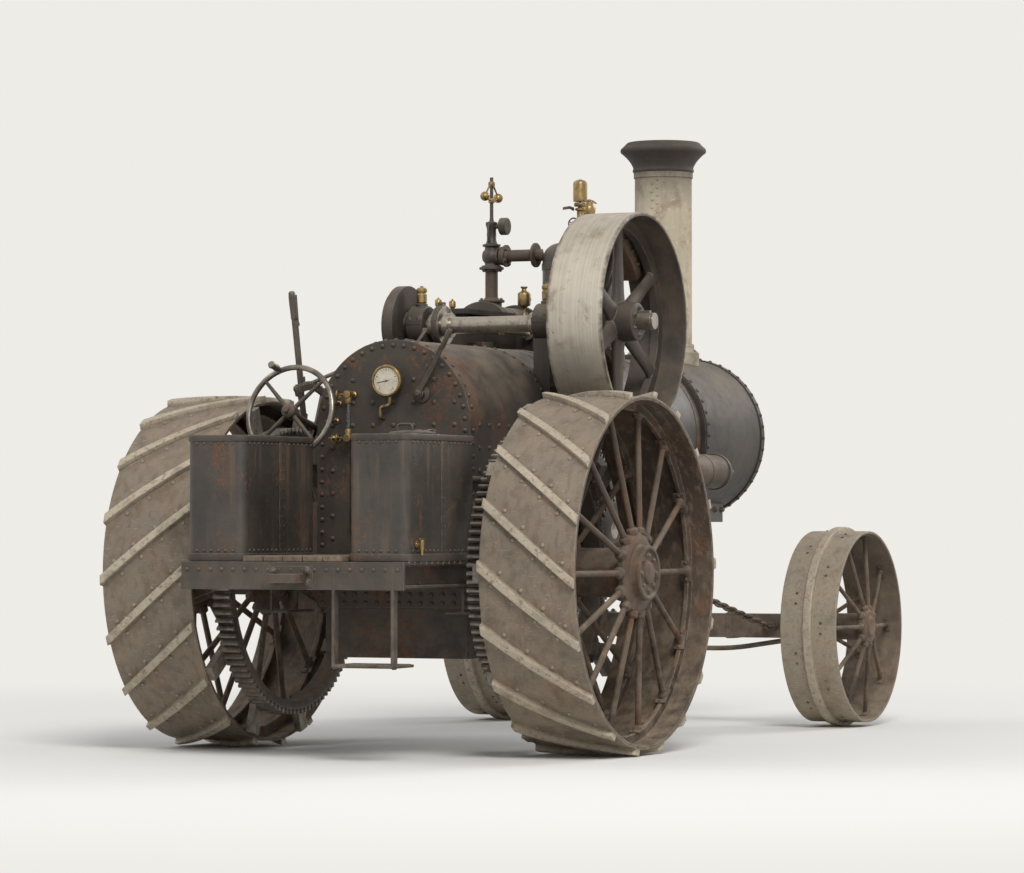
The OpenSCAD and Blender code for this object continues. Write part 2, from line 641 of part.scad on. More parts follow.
// Rear rim: rolled plate with edge flanges and cast lugs set aslant
rear_plate = 16;
rear_rim_r = rear_r - lug_h;
rear_ring_r = rear_rim_r - rear_plate - 42;
module rear_rim(side) {
    y0 = side * rear_in;
    y1 = side * (rear_in + rear_w);
    difference() {
        union() {
            difference() {
                y_cyl(rear_rim_r, y0, y1, rear_axle_x, rear_r);
                y_cyl(rear_rim_r - rear_plate, y0 - 1, y1 + 1, rear_axle_x, rear_r);
                y_cyl(rear_rim_r - rear_plate, y0 + 1, y1 - 1, rear_axle_x, rear_r);
            }
            for (y = [side * (rear_in + 105), side * (rear_in + rear_w - 125)]) difference() {
                y_cyl(rear_rim_r - rear_plate + 1, y, y + side * 20, rear_axle_x, rear_r);
                y_cyl(rear_ring_r, y - side, y + side * 21, rear_axle_x, rear_r);
            }
        }
    }
    intersection() {
        difference() {
            y_cyl(rear_r, y0, y1, rear_axle_x, rear_r);
            y_cyl(rear_rim_r - 2, y0 - side, y1 + side, rear_axle_x, rear_r);
        }
        translate([rear_axle_x, (y0 + y1) / 2, rear_r]) for (i = [0 : lug_count - 1])
            rotate([0, i * 360 / lug_count, 0]) rotate([0, 0, side * lug_slant])
            translate([-17, -rear_w, rear_r * 0.8]) cube([34, 2 * rear_w, rear_r * 0.25]);
    }
}
module rear_rim_left() color(iron) rear_rim(1);
module rear_rim_right() color(iron) rear_rim(-1);

// Rear hub and its two rows of round spokes
rear_spoke_count = 14;
rear_hub_r = 125;
rear_hub_out = rear_in + rear_w + 22;
module rear_spokes(side) difference() {
    union() {
        y_cyl(rear_hub_r, side * (rear_in - 30), side * rear_hub_out, rear_axle_x, rear_r);
        for (y = [rear_in + 20, rear_hub_out - 90]) y_cyl(rear_hub_r + 55, side * y, side * (y + 34),
            rear_axle_x, rear_r);
        intersection() {
            rear_spoke_bars(side);
            y_cyl(rear_ring_r, side * rear_in, side * rear_hub_out, rear_axle_x, rear_r);
        }
    }
    y_cyl(rear_axle_r + run_gap, 0, side * (rear_in + rear_w - 14), rear_axle_x, rear_r);
}
module rear_spoke_bars(side) for (row = [0, 1], i = [0 : rear_spoke_count - 1]) {
    a = (i + row / 2) * 360 / rear_spoke_count;
    hub_y = side * (row == 0 ? rear_in + 37 : rear_hub_out - 73);
    rim_y = side * (row == 0 ? rear_in + 115 : rear_in + rear_w - 115);
    bar(14, [rear_axle_x + 150 * sin(a), hub_y, rear_r + 150 * cos(a)],
        [rear_axle_x + (rear_ring_r + 20) * sin(a), rim_y, rear_r + (rear_ring_r + 20) * cos(a)]);
}
module rear_spokes_left() color(iron) rear_spokes(1);
module rear_spokes_right() color(iron) rear_spokes(-1);

// Bull gear ring on stand-off arms from the wheel's rim
module bull_gear(side) {
    spur(bull_teeth, slow_module, bull_phase, 2, side * slow_in, side * slow_out, rear_axle_x, rear_r,
        bull_r - 52);
    for (i = [0 : 9]) translate([rear_axle_x, side * slow_out, rear_r]) rotate([0, i * 36 + 18, 0])
        mirror([0, side < 0 ? 1 : 0, 0])
        translate([-36, 0, bull_r - 50]) cube([72, rear_in - slow_out, rear_rim_r - bull_r + 44]);
}
module bull_gear_left() color(iron) bull_gear(1);
module bull_gear_right() color(iron) bull_gear(-1);

// Front pedestal: saddle under the smokebox and the column that takes the king pin
turntable_z = front_r + 125;
king_top = turntable_z + 200;
module front_pedestal() color(iron) difference() {
    union() {
        translate([front_axle_x, 0, turntable_z + seat_gap])
            cylinder(r = 95, h = boiler_z - smokebox_r - turntable_z + 70);
        translate([front_axle_x, 0, turntable_z + seat_gap]) cylinder(r = 135, h = 30);
        round_block(front_axle_x - 190, front_axle_x + 190, -230, 230, boiler_z - smokebox_r - 30,
            boiler_z - smokebox_r + 90, 40);
        span([front_axle_x - 150, -25, king_top + 40], [front_axle_x + 150, 25, boiler_z - smokebox_r]);
        translate([front_axle_x + 16, 0, 0]) rotate([0, -90, 0]) linear_extrude(32) polygon(
            [[turntable_z + 60, -94], [boiler_z - smokebox_r - 12, -205], [boiler_z - smokebox_r - 12, 205],
            [turntable_z + 60, 94]]);
        translate([front_axle_x, 0, king_top + 6]) cylinder(r = 112, h = 22);
    }
    x_cyl(smokebox_r, smokebox_x0, smokebox_x1, 0, boiler_z);
    translate([front_axle_x, 0, 0]) cylinder(r = king_r + run_gap, h = king_top + open_gap);
}

// Front axle: forged beam, turntable plate, king pin and spindles
front_in = front_out - front_w;
beam_half = front_in - 45;
module front_axle() color(iron) {
    span([front_axle_x - 55, -beam_half, front_r - 62], [front_axle_x + 55, beam_half, front_r + 62]);
    translate([front_axle_x, 0, front_r]) cylinder(r = 135, h = turntable_z - front_r);
    translate([front_axle_x, 0, turntable_z]) cylinder(r = king_r, h = king_top - turntable_z);
    for (s = [-1, 1]) {
        y_cyl(spindle_r, s * beam_half, s * (front_out + 8), front_axle_x, front_r);
        y_cyl(62, s * (beam_half - 20), s * (beam_half + 12), front_axle_x, front_r);
        for (y = [beam_half * 0.46, beam_half * 0.94]) span([front_axle_x - 62, s * y - 14, front_r - 67],
            [front_axle_x + 62, s * y + 14, front_r + 67]);
        translate([front_axle_x - eye_ahead, s * chain_y, front_r - 16]) cylinder(r = eye_r, h = 32);
    }
}

// Front wheel's rolled rim with its guide band
front_rim_r = front_r - band_h;
front_plate = 14;
module front_rim(side) {
    difference() {
        y_cyl(front_rim_r, side * front_in, side * front_out, front_axle_x, front_r);
        y_cyl(front_rim_r - front_plate, side * (front_in - 1), side * (front_out + 1), front_axle_x, front_r);
    }
    difference() {
        y_cyl(front_r, side * (front_in + front_w / 2 - 22), side * (front_in + front_w / 2 + 22),
            front_axle_x, front_r);
        y_cyl(front_rim_r - 2, side * front_in, side * front_out, front_axle_x, front_r);
    }
}
module front_rim_left() color(iron) front_rim(1);
module front_rim_right() color(iron) front_rim(-1);

// Front hub and its two rows of round spokes
front_spoke_count = 10;
front_hub_r = 78;
module front_spokes(side) difference() {
    union() {
        y_cyl(front_hub_r, side * (front_in - 28), side * (front_out + 16), front_axle_x, front_r);
        intersection() {
            front_spoke_bars(side);
            y_cyl(front_rim_r - front_plate, side * front_in, side * front_out, front_axle_x, front_r);
        }
    }
    y_cyl(spindle_r + run_gap, 0, side * (front_out + 10), front_axle_x, front_r);
}
module front_spoke_bars(side) for (row = [0, 1], i = [0 : front_spoke_count - 1]) {
    a = (i + row / 2) * 360 / front_spoke_count;
    hub_y = side * (row == 0 ? front_in + 12 : front_out - 12);
    rim_y = side * (row == 0 ? front_in + 80 : front_out - 80);
    bar(11, [front_axle_x + 50 * sin(a), hub_y, front_r + 50 * cos(a)],
        [front_axle_x + (front_rim_r + 8) * sin(a), rim_y, front_r + (front_rim_r + 8) * cos(a)]);
}
module front_spokes_left() color(iron) front_spokes(1);
module front_spokes_right() color(iron) front_spokes(-1);

// Steering gear: chain roller and worm wheel under the barrel, shaft and hand wheel on the left
roller_x = stack_x - 1500;
roller_z = 930;
roller_r = 48;
roller_reach = 300;
worm_y = 450;
wheel_back = 3330;
hand_wheel_z = 1560;
wheel_at = [stack_x - wheel_back, worm_y, hand_wheel_z];
worm_wheel_r = 95;
worm_r = 34;
worm_half = 90;
worm_at = [roller_x, worm_y, roller_z + worm_wheel_r + worm_r + 8];
module steering_gear() color(iron) difference() {
    union() {
        y_cyl(roller_r, -roller_reach, worm_y + 25, roller_x, roller_z);
        y_cyl(worm_wheel_r, worm_y - 22, worm_y + 22, roller_x, roller_z);
        for (y = [10 - roller_reach, roller_reach - 60]) {
            y_cyl(roller_r * 1.5, y, y + 50, roller_x, roller_z);
            span([roller_x - 45, y, roller_z], [roller_x + 45, y + 50, boiler_z - 100]);
        }
    }
    boiler_space();
}

// Steering column: worm, long shaft and hand wheel, in brackets on the boiler's left side
column_r = 15;
hand_wheel_r = 215;
grip_r = 13;
bearing_reach = 250;
column_tilt = atan2(wheel_at[2] - worm_at[2], worm_at[0] - wheel_at[0]);
column_len = norm(wheel_at - worm_at);
module along_column(d) {
    translate(worm_at) rotate([0, -90 + column_tilt, 0]) translate([0, 0, d]) children();
}
module steering_column() color(iron) difference() {
    union() {
        along_column(-worm_half) cylinder(r = worm_r, h = 2 * worm_half);
        along_column(worm_half - 10) cylinder(r = column_r, h = column_len - worm_half + 10);
        along_column(column_len) {
            rotate_extrude() translate([hand_wheel_r, 0]) circle(grip_r);
            cylinder(r = worm_r, h = 50, center = true);
            for (a = [45 : 90 : 315]) rotate([0, 0, a]) rotate([0, 90, 0])
                cylinder(r = 9, h = hand_wheel_r - 3);
        }
        for (d = [column_len * 0.26, column_len * 0.79]) along_column(d)
            span([-18, -bearing_reach, -20], [18, 0, 20]);
    }
    boiler_space();
}

// Steering chains from the axle back to the roller
chain_y = 590;
chain_r = 14;
chain_lead = 120;
eye_ahead = 75;
eye_r = 34;
eye_back_x = front_axle_x - eye_ahead - eye_r;
chain_gap = 5;
module steering_chains() color(dark) for (s = [-1, 1]) {
    bar(chain_r, [eye_back_x - chain_gap + 0.4 * s, s * chain_y, front_r],
        [roller_x + 20, s * chain_lead, roller_z - s * (roller_r + chain_r)]);
}

// Platform: channel side frames, deck plate and drawbar
rail_h = 110;
tow_h = 40;
step_z = 420;
step_y0 = 200;
step_y1 = 500;
step_deep = 200;
tow_z = deck_z - 12 - rail_h + 30;
module platform() color(iron) difference() {
    union() {
        span([deck_back, -deck_half, deck_z - 12], [firebox_x0 - 2, deck_half, deck_z]);
        for (y = [-deck_half + 60, deck_half - 120]) span([deck_back, y, deck_z - 12 - rail_h],
            [firebox_x0, y + 60, deck_z - 12]);
        span([deck_back, -deck_half, deck_z - 12 - rail_h], [deck_back + 16, deck_half, deck_z - 12]);
        span([deck_back + 16, -70, tow_z], [firebox_x0, 70, tow_z + tow_h]);
        round_block(tow_x, deck_back + 40, -80, 80, tow_z, tow_z + tow_h, 45);
        // hanging step at the rear, right of the drawbar
        for (y = [-step_y1, -step_y0 - 12]) span([deck_back, y, step_z], [deck_back + 40, y + 12, deck_z - 30]);
        span([deck_back, -step_y1, step_z], [deck_back + step_deep, -step_y0, step_z + 12]);
    }
    translate([tow_x + 50, 0, 0]) cylinder(r = drawbar_hole_r, h = deck_z);
}

// Water tank on the right of the platform, with its filler lid
tank_x0 = deck_back + 40;
module water_tank() color(iron) difference() {
    round_block(tank_x0, tank_x0 + tank_len, -deck_half + 2, -deck_half + 2 + tank_w, deck_z,
        deck_z + tank_h, 45);
    translate([tank_x0 + tank_len / 2, -deck_half + 2 + tank_w / 2, deck_z + 60])
        cylinder(r = 90, h = tank_h);
}

lid_y = -deck_half + 2 + tank_w / 2;
lid_hinge_z = deck_z + tank_h + 16;
module tank_lid() color(iron) {
    translate([tank_x0 + tank_len / 2, lid_y, deck_z + tank_h + seat_gap]) cylinder(r = 105, h = 12);
    y_cyl(8, lid_y - 50, lid_y + 50, lid_hinge_x, lid_hinge_z);
    span([lid_hinge_x, lid_y - 30, deck_z + tank_h + 12],
        [tank_x0 + tank_len / 2, lid_y + 30, deck_z + tank_h + 20]);
}
lid_hinge_x = tank_x0 + tank_len / 2 + 125;

// Fuel bunker on the left of the platform, open at the top
bunker_wall = 8;
module fuel_bunker() color(iron) difference() {
    round_block(tank_x0, tank_x0 + tank_len, deck_half - 2 - tank_w, deck_half - 2, deck_z,
        deck_z + tank_h, 45);
    round_block(tank_x0 + bunker_wall, tank_x0 + tank_len - bunker_wall,
        deck_half - 2 - tank_w + bunker_wall, deck_half - 2 - bunker_wall, deck_z + 10,
        deck_z + tank_h + 1, 37);
}

// Governor: valve body on the steam pipe, spindle column; its balls spin apart
gov_x = stack_x - 1130;
gov_y = 465;
gov_z = crank_z + 400;
spindle_top = 400;
module governor() color(dark) {
    translate([gov_x, gov_y, gov_z - 60]) cylinder(r = 46, h = 120);
    y_cyl(30, gov_y - 60, gov_y, gov_x, gov_z);
    translate([gov_x, gov_y, gov_z + 60]) cylinder(r = 30, h = 110);
    y_cyl(14, gov_y - 90, gov_y, gov_x, gov_z + 150);
    y_cyl(44, gov_y - 91, gov_y - 52, gov_x, gov_z + 150);
    translate([gov_x, gov_y, gov_z + 170]) cylinder(r = 9, h = spindle_top - 170);
}
ball_z = gov_z + 300;
ball_r = 24;
ball_reach = 78;
module governor_balls() color(brass) difference() {
    union() {
        translate([gov_x, gov_y, ball_z - 30]) cylinder(r = 16, h = 110);
        for (s = [-1, 1]) {
            translate([gov_x + s * ball_reach, gov_y, ball_z]) rotate_extrude()
                polygon(concat([[0, -ball_r]],
                    [for (a = [-80 : 10 : 80]) [ball_r * cos(a), ball_r * sin(a)]], [[0, ball_r]]));
            bar(6, [gov_x + s * 11, gov_y, ball_z + 68], [gov_x + s * (ball_reach - 14), gov_y, ball_z + 12]);
            span([gov_x + s * 11, gov_y - 5, ball_z - 20], [gov_x + s * ball_reach, gov_y + 5, ball_z - 10]);
        }
    }
    translate([gov_x, gov_y, gov_z]) cylinder(r = 9 + run_gap, h = 600);
}

// Steam pipe from the dome through the governor to the steam chest
module steam_pipe() color(dark) difference() {
    union() {
        y_cyl(30, 100, gov_y - 60, gov_x, gov_z);
        y_cyl(48, gov_y - 76, gov_y - 60, gov_x, gov_z);
        translate([gov_x, gov_y, crank_z + 60]) cylinder(r = 32, h = gov_z - 60 - crank_z - 60);
        translate([gov_x, gov_y, crank_z + 60]) cylinder(r = 52, h = cyl_r - 35);
    }
    translate([dome_x, 0, boiler_z + 250]) cylinder(r = dome_r, h = dome_top - boiler_z);
    cylinder_casting();
}

// Exhaust pipe from the steam chest forward along the barrel and down into the smokebox
exhaust_y = chest_in + 50;
exhaust_z = crank_z - 40;
exhaust_r = 36;
module exhaust_pipe() color(dark) difference() {
    union() {
        x_cyl(exhaust_r, cyl_x1 - 50, smokebox_x0 + 90, exhaust_y, exhaust_z);
        translate([smokebox_x0 + 90, exhaust_y, exhaust_z - 50]) cylinder(r = exhaust_r + 9, h = 100);
        translate([smokebox_x0 + 90, exhaust_y, boiler_z + 250]) cylinder(r = exhaust_r,
            h = exhaust_z - boiler_z - 250);
    }
    x_cyl(smokebox_r, smokebox_x0, smokebox_x1, 0, boiler_z);
}

// Feed water heater: a long closed drum on brackets at the barrel's right side
heater_r = 85;
heater_y = -barrel_r - heater_r - 30;
heater_drop = 190;
heater_z = boiler_z - heater_drop;
heater_len = 1120;
heater_x1 = smokebox_x0 - 100;
heater_x0 = heater_x1 - heater_len;
check_x = heater_x0 + 138;
vent_x = smokebox_x0 + 90;
module water_heater() color(iron) difference() {
    union() {
        x_cyl(heater_r, heater_x0, heater_x1, heater_y, heater_z);
        for (x = [heater_x0 - 12, heater_x1 - 12]) x_cyl(heater_r + 7, x, x + 24, heater_y, heater_z);
        translate([check_x, heater_y, heater_z]) cylinder(r = 17, h = boiler_z - heater_z + 17);
        y_cyl(17, heater_y, -barrel_r / 2, check_x, boiler_z);
        y_cyl(38, -barrel_r - 10, -barrel_r + 20, check_x, boiler_z);
        y_cyl(30, heater_y - 30, heater_y + 22, check_x, boiler_z);
        x_cyl(20, heater_x1, vent_x + 20, heater_y, heater_z);
        y_cyl(20, heater_y, -smokebox_r / 2, vent_x, heater_z);
        for (x = [heater_x0 + heater_len / 6, heater_x1 - heater_len / 6])
            span([x - 30, heater_y, heater_z - 30], [x + 30, -barrel_r / 2, heater_z + 30]);
    }
    boiler_space();
}

// Feed pipes: from the tank's foot through the injector, then along the firebox to the heater
feed_r = 14;
feed_y = -firebox_half - 22;
feed_x = firebox_x0 - 110;
feed_z = heater_z - 60;
feed_tank_y = lid_y;
feed_tank_z = deck_z + 70;
// The cross pipe joins the tank's outlet to the firebox run, whichever of them lies farther out
feed_cross_out = min(feed_y, feed_tank_y);
feed_cross_in = max(feed_y, feed_tank_y);
module feed_pipes() color(brass) {
    x_cyl(feed_r, tank_x0 + tank_len, feed_x + feed_r, feed_tank_y, feed_tank_z);
    x_cyl(26, tank_x0 + tank_len, tank_x0 + tank_len + 12, feed_tank_y, feed_tank_z);
    translate([feed_x, feed_tank_y, feed_tank_z - feed_r])
        cylinder(r = feed_r, h = feed_z - feed_tank_z + 2 * feed_r);
    translate([feed_x, feed_tank_y, feed_tank_z + 70]) cylinder(r = 30, h = 40);
    translate([feed_x, feed_tank_y, feed_tank_z + 100]) cylinder(r = 22, h = 100);
    translate([feed_x, feed_tank_y, feed_tank_z + 190]) cylinder(r = 30, h = 40);
    y_cyl(feed_r, feed_cross_out - feed_r, feed_cross_in + feed_r, feed_x, feed_z);
    x_cyl(feed_r, feed_x - feed_r, heater_x0 - 90, feed_y, feed_z);
    y_cyl(feed_r, heater_y - feed_r, feed_y + feed_r, heater_x0 - 90, feed_z);
    x_cyl(feed_r, heater_x0 - 90, heater_x0 - 12, heater_y, feed_z);
    for (x = [firebox_x0 + 200, firebox_x1 - 150])
        span([x, feed_y, feed_z - 20], [x + 24, -firebox_half, feed_z + 20]);
}

// Reverse lever: quadrant on the firebox's left side, hand lever, and the reach rod to its rocker
quad_x = firebox_x0 + 90;
quad_z = boiler_z - 120;
quad_y = firebox_half + 84;
quad_r = 330;
lever_len = 640;
lever_lean = 12;
reach_at = 300;
rocker_x = crank_x - 260;
rocker_y = firebox_half - 117;
rocker_z = crank_z - 100;
link_end_x = crank_x - ecc_throw - ecc_r - 25;
module reverse_lever() color(dark) {
    translate([quad_x, quad_y + 6, quad_z]) rotate([90, 0, 0]) linear_extrude(12) polygon(concat(
        [for (a = [62 : 4 : 118]) quad_r * [cos(a), sin(a)]],
        [for (a = [118 : -4 : 62]) (quad_r - 42) * [cos(a), sin(a)]]));
    for (a = [66, 112]) translate([quad_x, quad_y - 5, quad_z]) rotate([0, 90 - a, 0])
        translate([-12, 0, 0]) cube([24, 10, quad_r - 20]);
    span([quad_x - 60, firebox_half, quad_z - 60], [quad_x + 60, quad_y - 2, quad_z + 60]);
    y_cyl(40, quad_y - 10, quad_y + 34, quad_x, quad_z);
    translate([quad_x, quad_y + 10, quad_z]) rotate([0, -lever_lean, 0]) {
        translate([-16, 0, -18]) cube([32, 12, lever_len + 18]);
        translate([0, 6, lever_len - 12]) cylinder(r = 15, h = 130);
        translate([0, 36, reach_at]) rotate([90, 0, 0]) cylinder(r = 14, h = 32);
    }
    bar(9, [quad_x - reach_at * sin(lever_lean), quad_y + 30, quad_z + reach_at * cos(lever_lean)],
        [rocker_x, rocker_y + 42, rocker_z]);
    // rocker on its stand at the firebox top, and the link to the eccentric
    difference() {
        span([rocker_x - 45, rocker_y - 22, boiler_z + 150], [rocker_x + 45, rocker_y + 22, rocker_z - 40]);
        boiler_space();
    }
    translate([rocker_x, rocker_y, rocker_z - 50]) cylinder(r = 24, h = 74);
    y_cyl(17, rocker_y - 50, rocker_y + 54, rocker_x, rocker_z);
    bar(8, [rocker_x, rocker_y - 40, rocker_z], [link_end_x, ecc_y0 + 20, crank_z - 30]);
}

// Backhead fittings: water column, gauge and steam gauge
gauge_r = 75;
gauge_z = boiler_z + 200;
glass_y = 200;
glass_z = boiler_z - 60;
glass_h = 200;
throttle_y = -150;
throttle_z = boiler_z + 140;
throttle_lean = 31;
module backhead_fittings() color(brass) {
    x_cyl(gauge_r, firebox_x0 - 78, firebox_x0 - 24, 0, gauge_z);
    x_cyl(18, firebox_x0 - 24, firebox_x0, 0, gauge_z);
    for (z = [glass_z, glass_z + glass_h]) x_cyl(14, firebox_x0 - 60, firebox_x0, glass_y, z);
    translate([firebox_x0 - 60, glass_y, glass_z - 20]) cylinder(r = 17, h = glass_h + 40);
    // try cocks
    for (z = [glass_z, glass_z + 80, glass_z + 160]) {
        x_cyl(13, firebox_x0 - 88, firebox_x0, glass_y + 80, z);
        y_cyl(5, glass_y + 60, glass_y + 100, firebox_x0 - 80, z);
    }
    // throttle stem and lever
    x_cyl(40, firebox_x0 - 12, firebox_x0, throttle_y, throttle_z);
    x_cyl(20, firebox_x0 - 48, firebox_x0 - 10, throttle_y, throttle_z);
    translate([firebox_x0 - 46, throttle_y, throttle_z]) rotate([throttle_lean, 0, 0]) {
        translate([0, -11, -25]) cube([10, 22, 255]);
        translate([5, 0, 220]) cylinder(r = 13, h = 100);
    }
}

smokebox();
smokebox_door();
stack();
stack_cap();
boiler_barrel();
firebox();
fire_door();
ash_pan();
dome();
dome_valves();
engine_cylinder();
engine_frame();
crosshead_rod();
governor();
governor_balls();
steam_pipe();
exhaust_pipe();
water_heater();
crankshaft();
crank_disc();
flywheel();
clutch_pinion();
intermediate_gear();
differential_gear();
shaft_brackets();
clutch_spider();
reverse_lever();
feed_pipes();
countershaft();
bull_pinion_left();
bull_pinion_right();
rear_axle();
rear_rim_left();
rear_rim_right();
rear_spokes_left();
rear_spokes_right();
bull_gear_left();
bull_gear_right();
front_pedestal();
front_axle();
front_rim_left();
front_rim_right();
front_spokes_left();
front_spokes_right();
steering_gear();
steering_column();
steering_chains();
platform();
water_tank();
tank_lid();
fuel_bunker();
backhead_fittings();
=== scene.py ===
# Steam traction engine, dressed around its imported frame: a side-crank farm engine of about 1905.
# Frame: +X forward to the smokebox, +Y to the engine's left, +Z up, in metres, the ground at zero.
# Profiles for the lathe are (radius, distance along) in millimetres.
# The file goes through the engine as it is put together, from the boiler to the platform.
import random
from math import atan2, cos, hypot, pi, radians, sin, tau

import bmesh
import bpy
from mathutils import Matrix, Vector


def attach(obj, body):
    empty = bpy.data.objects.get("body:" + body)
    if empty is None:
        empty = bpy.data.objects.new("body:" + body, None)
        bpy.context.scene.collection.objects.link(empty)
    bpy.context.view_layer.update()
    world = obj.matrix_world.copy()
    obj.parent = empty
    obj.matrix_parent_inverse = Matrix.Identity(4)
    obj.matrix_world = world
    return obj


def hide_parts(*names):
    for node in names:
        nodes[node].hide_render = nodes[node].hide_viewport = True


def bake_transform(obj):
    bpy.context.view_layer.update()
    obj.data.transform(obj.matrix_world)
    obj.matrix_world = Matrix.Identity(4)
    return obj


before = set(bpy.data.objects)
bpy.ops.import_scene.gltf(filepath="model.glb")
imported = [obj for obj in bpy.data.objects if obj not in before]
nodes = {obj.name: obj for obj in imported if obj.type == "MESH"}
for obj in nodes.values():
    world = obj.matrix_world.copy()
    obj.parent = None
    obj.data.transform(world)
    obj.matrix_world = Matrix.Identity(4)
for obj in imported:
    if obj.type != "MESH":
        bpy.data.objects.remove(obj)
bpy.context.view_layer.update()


# Studio
# A plain pale floor that runs out into a pale surround, and three soft lamps. The camera stands
# where the photograph was taken: behind the engine and to its right, a little over a metre up.
def path_share(tree):
    """One where a ray is seen directly, in a gloss or through glass."""
    ray = tree.nodes.new("ShaderNodeLightPath")
    share = ray.outputs["Is Camera Ray"]
    for name in ("Is Glossy Ray", "Is Transmission Ray"):
        wider = tree.nodes.new("ShaderNodeMath")
        wider.operation = "MAXIMUM"
        tree.links.new(share, wider.inputs[0])
        tree.links.new(ray.outputs[name], wider.inputs[1])
        share = wider.outputs[0]
    return share


def studio():
    scene = bpy.context.scene
    scene.view_settings.view_transform = "Standard"
    surround = (0.86, 0.84, 0.8, 1)
    mesh = bpy.data.meshes.new("floor")
    reach = 90
    mesh.from_pydata([(-reach, -reach, 0), (reach, -reach, 0), (reach, reach, 0),
        (-reach, reach, 0)], [], [(0, 1, 2, 3)])
    floor = bpy.data.objects.new("floor", mesh)
    scene.collection.objects.link(floor)
    finish = bpy.data.materials.new("floor_finish")
    finish.use_nodes = True
    tree = finish.node_tree
    shader = tree.nodes["Principled BSDF"]
    shader.inputs["Base Color"].default_value = (0.8, 0.78, 0.74, 1)
    shader.inputs["Roughness"].default_value = 0.95
    shader.inputs["Specular IOR Level"].default_value = 0.1
    # far from the engine the floor takes the surround's tone, so no horizon shows
    far = tree.nodes.new("ShaderNodeEmission")
    far.inputs["Color"].default_value = surround
    length = tree.nodes.new("ShaderNodeVectorMath")
    length.operation = "LENGTH"
    tree.links.new(tree.nodes.new("ShaderNodeTexCoord").outputs["Object"], length.inputs[0])
    fade = tree.nodes.new("ShaderNodeMapRange")
    fade.interpolation_type = "SMOOTHSTEP"
    fade.inputs["From Min"].default_value = 3.2
    fade.inputs["From Max"].default_value = 8.5
    tree.links.new(length.outputs["Value"], fade.inputs["Value"])
    share = tree.nodes.new("ShaderNodeMath")
    share.operation = "MULTIPLY"
    tree.links.new(fade.outputs[0], share.inputs[0])
    tree.links.new(path_share(tree), share.inputs[1])
    mix = tree.nodes.new("ShaderNodeMixShader")
    for source, socket in ((share.outputs[0], 0), (shader.outputs[0], 1), (far.outputs[0], 2)):
        tree.links.new(source, mix.inputs[socket])
    tree.links.new(mix.outputs[0], tree.nodes["Material Output"].inputs["Surface"])
    mesh.materials.append(finish)

    world = bpy.data.worlds.new("surround")
    scene.world = world
    world.use_nodes = True
    tree = world.node_tree
    tree.nodes.clear()
    light_sky = tree.nodes.new("ShaderNodeBackground")
    light_sky.inputs["Color"].default_value = (0.93, 0.95, 1.0, 1)
    light_sky.inputs["Strength"].default_value = 0.5
    seen_sky = tree.nodes.new("ShaderNodeBackground")
    seen_sky.inputs["Color"].default_value = surround
    mix = tree.nodes.new("ShaderNodeMixShader")
    out = tree.nodes.new("ShaderNodeOutputWorld")
    for source, socket in ((path_share(tree), mix.inputs[0]), (light_sky.outputs[0], mix.inputs[1]),
            (seen_sky.outputs[0], mix.inputs[2]), (mix.outputs[0], out.inputs["Surface"])):
        tree.links.new(source, socket)

    for place, power, size in (((-13, -9, 14), 2500, 7), ((-5, 14, 12), 620, 9),
            ((15, -8, 10), 1050, 7)):
        lamp = bpy.data.lights.new("soft_lamp", "AREA")
        lamp.energy = power
        lamp.size = size
        holder = bpy.data.objects.new("soft_lamp", lamp)
        holder.location = place
        holder.rotation_euler = (Vector((0, 0, 1.2)) - Vector(place)).to_track_quat("-Z",
            "Y").to_euler()
        scene.collection.objects.link(holder)

    # 25 degrees off the engine's tail, from its right-hand side
    bearing = radians(-65)
    distance, eye_height = 21.0, 1.05
    aim = Vector((-0.05, 0.0, 1.47))
    camera = bpy.data.objects.new("camera", bpy.data.cameras.new("camera"))
    camera.location = (aim.x + distance * sin(bearing), aim.y - distance * cos(bearing), eye_height)
    camera.rotation_euler = (aim - camera.location).to_track_quat("-Z", "Y").to_euler()
    camera.data.lens = 152
    camera.data.sensor_width = 36
    camera.data.clip_end = 300
    scene.collection.objects.link(camera)
    scene.camera = camera


studio()


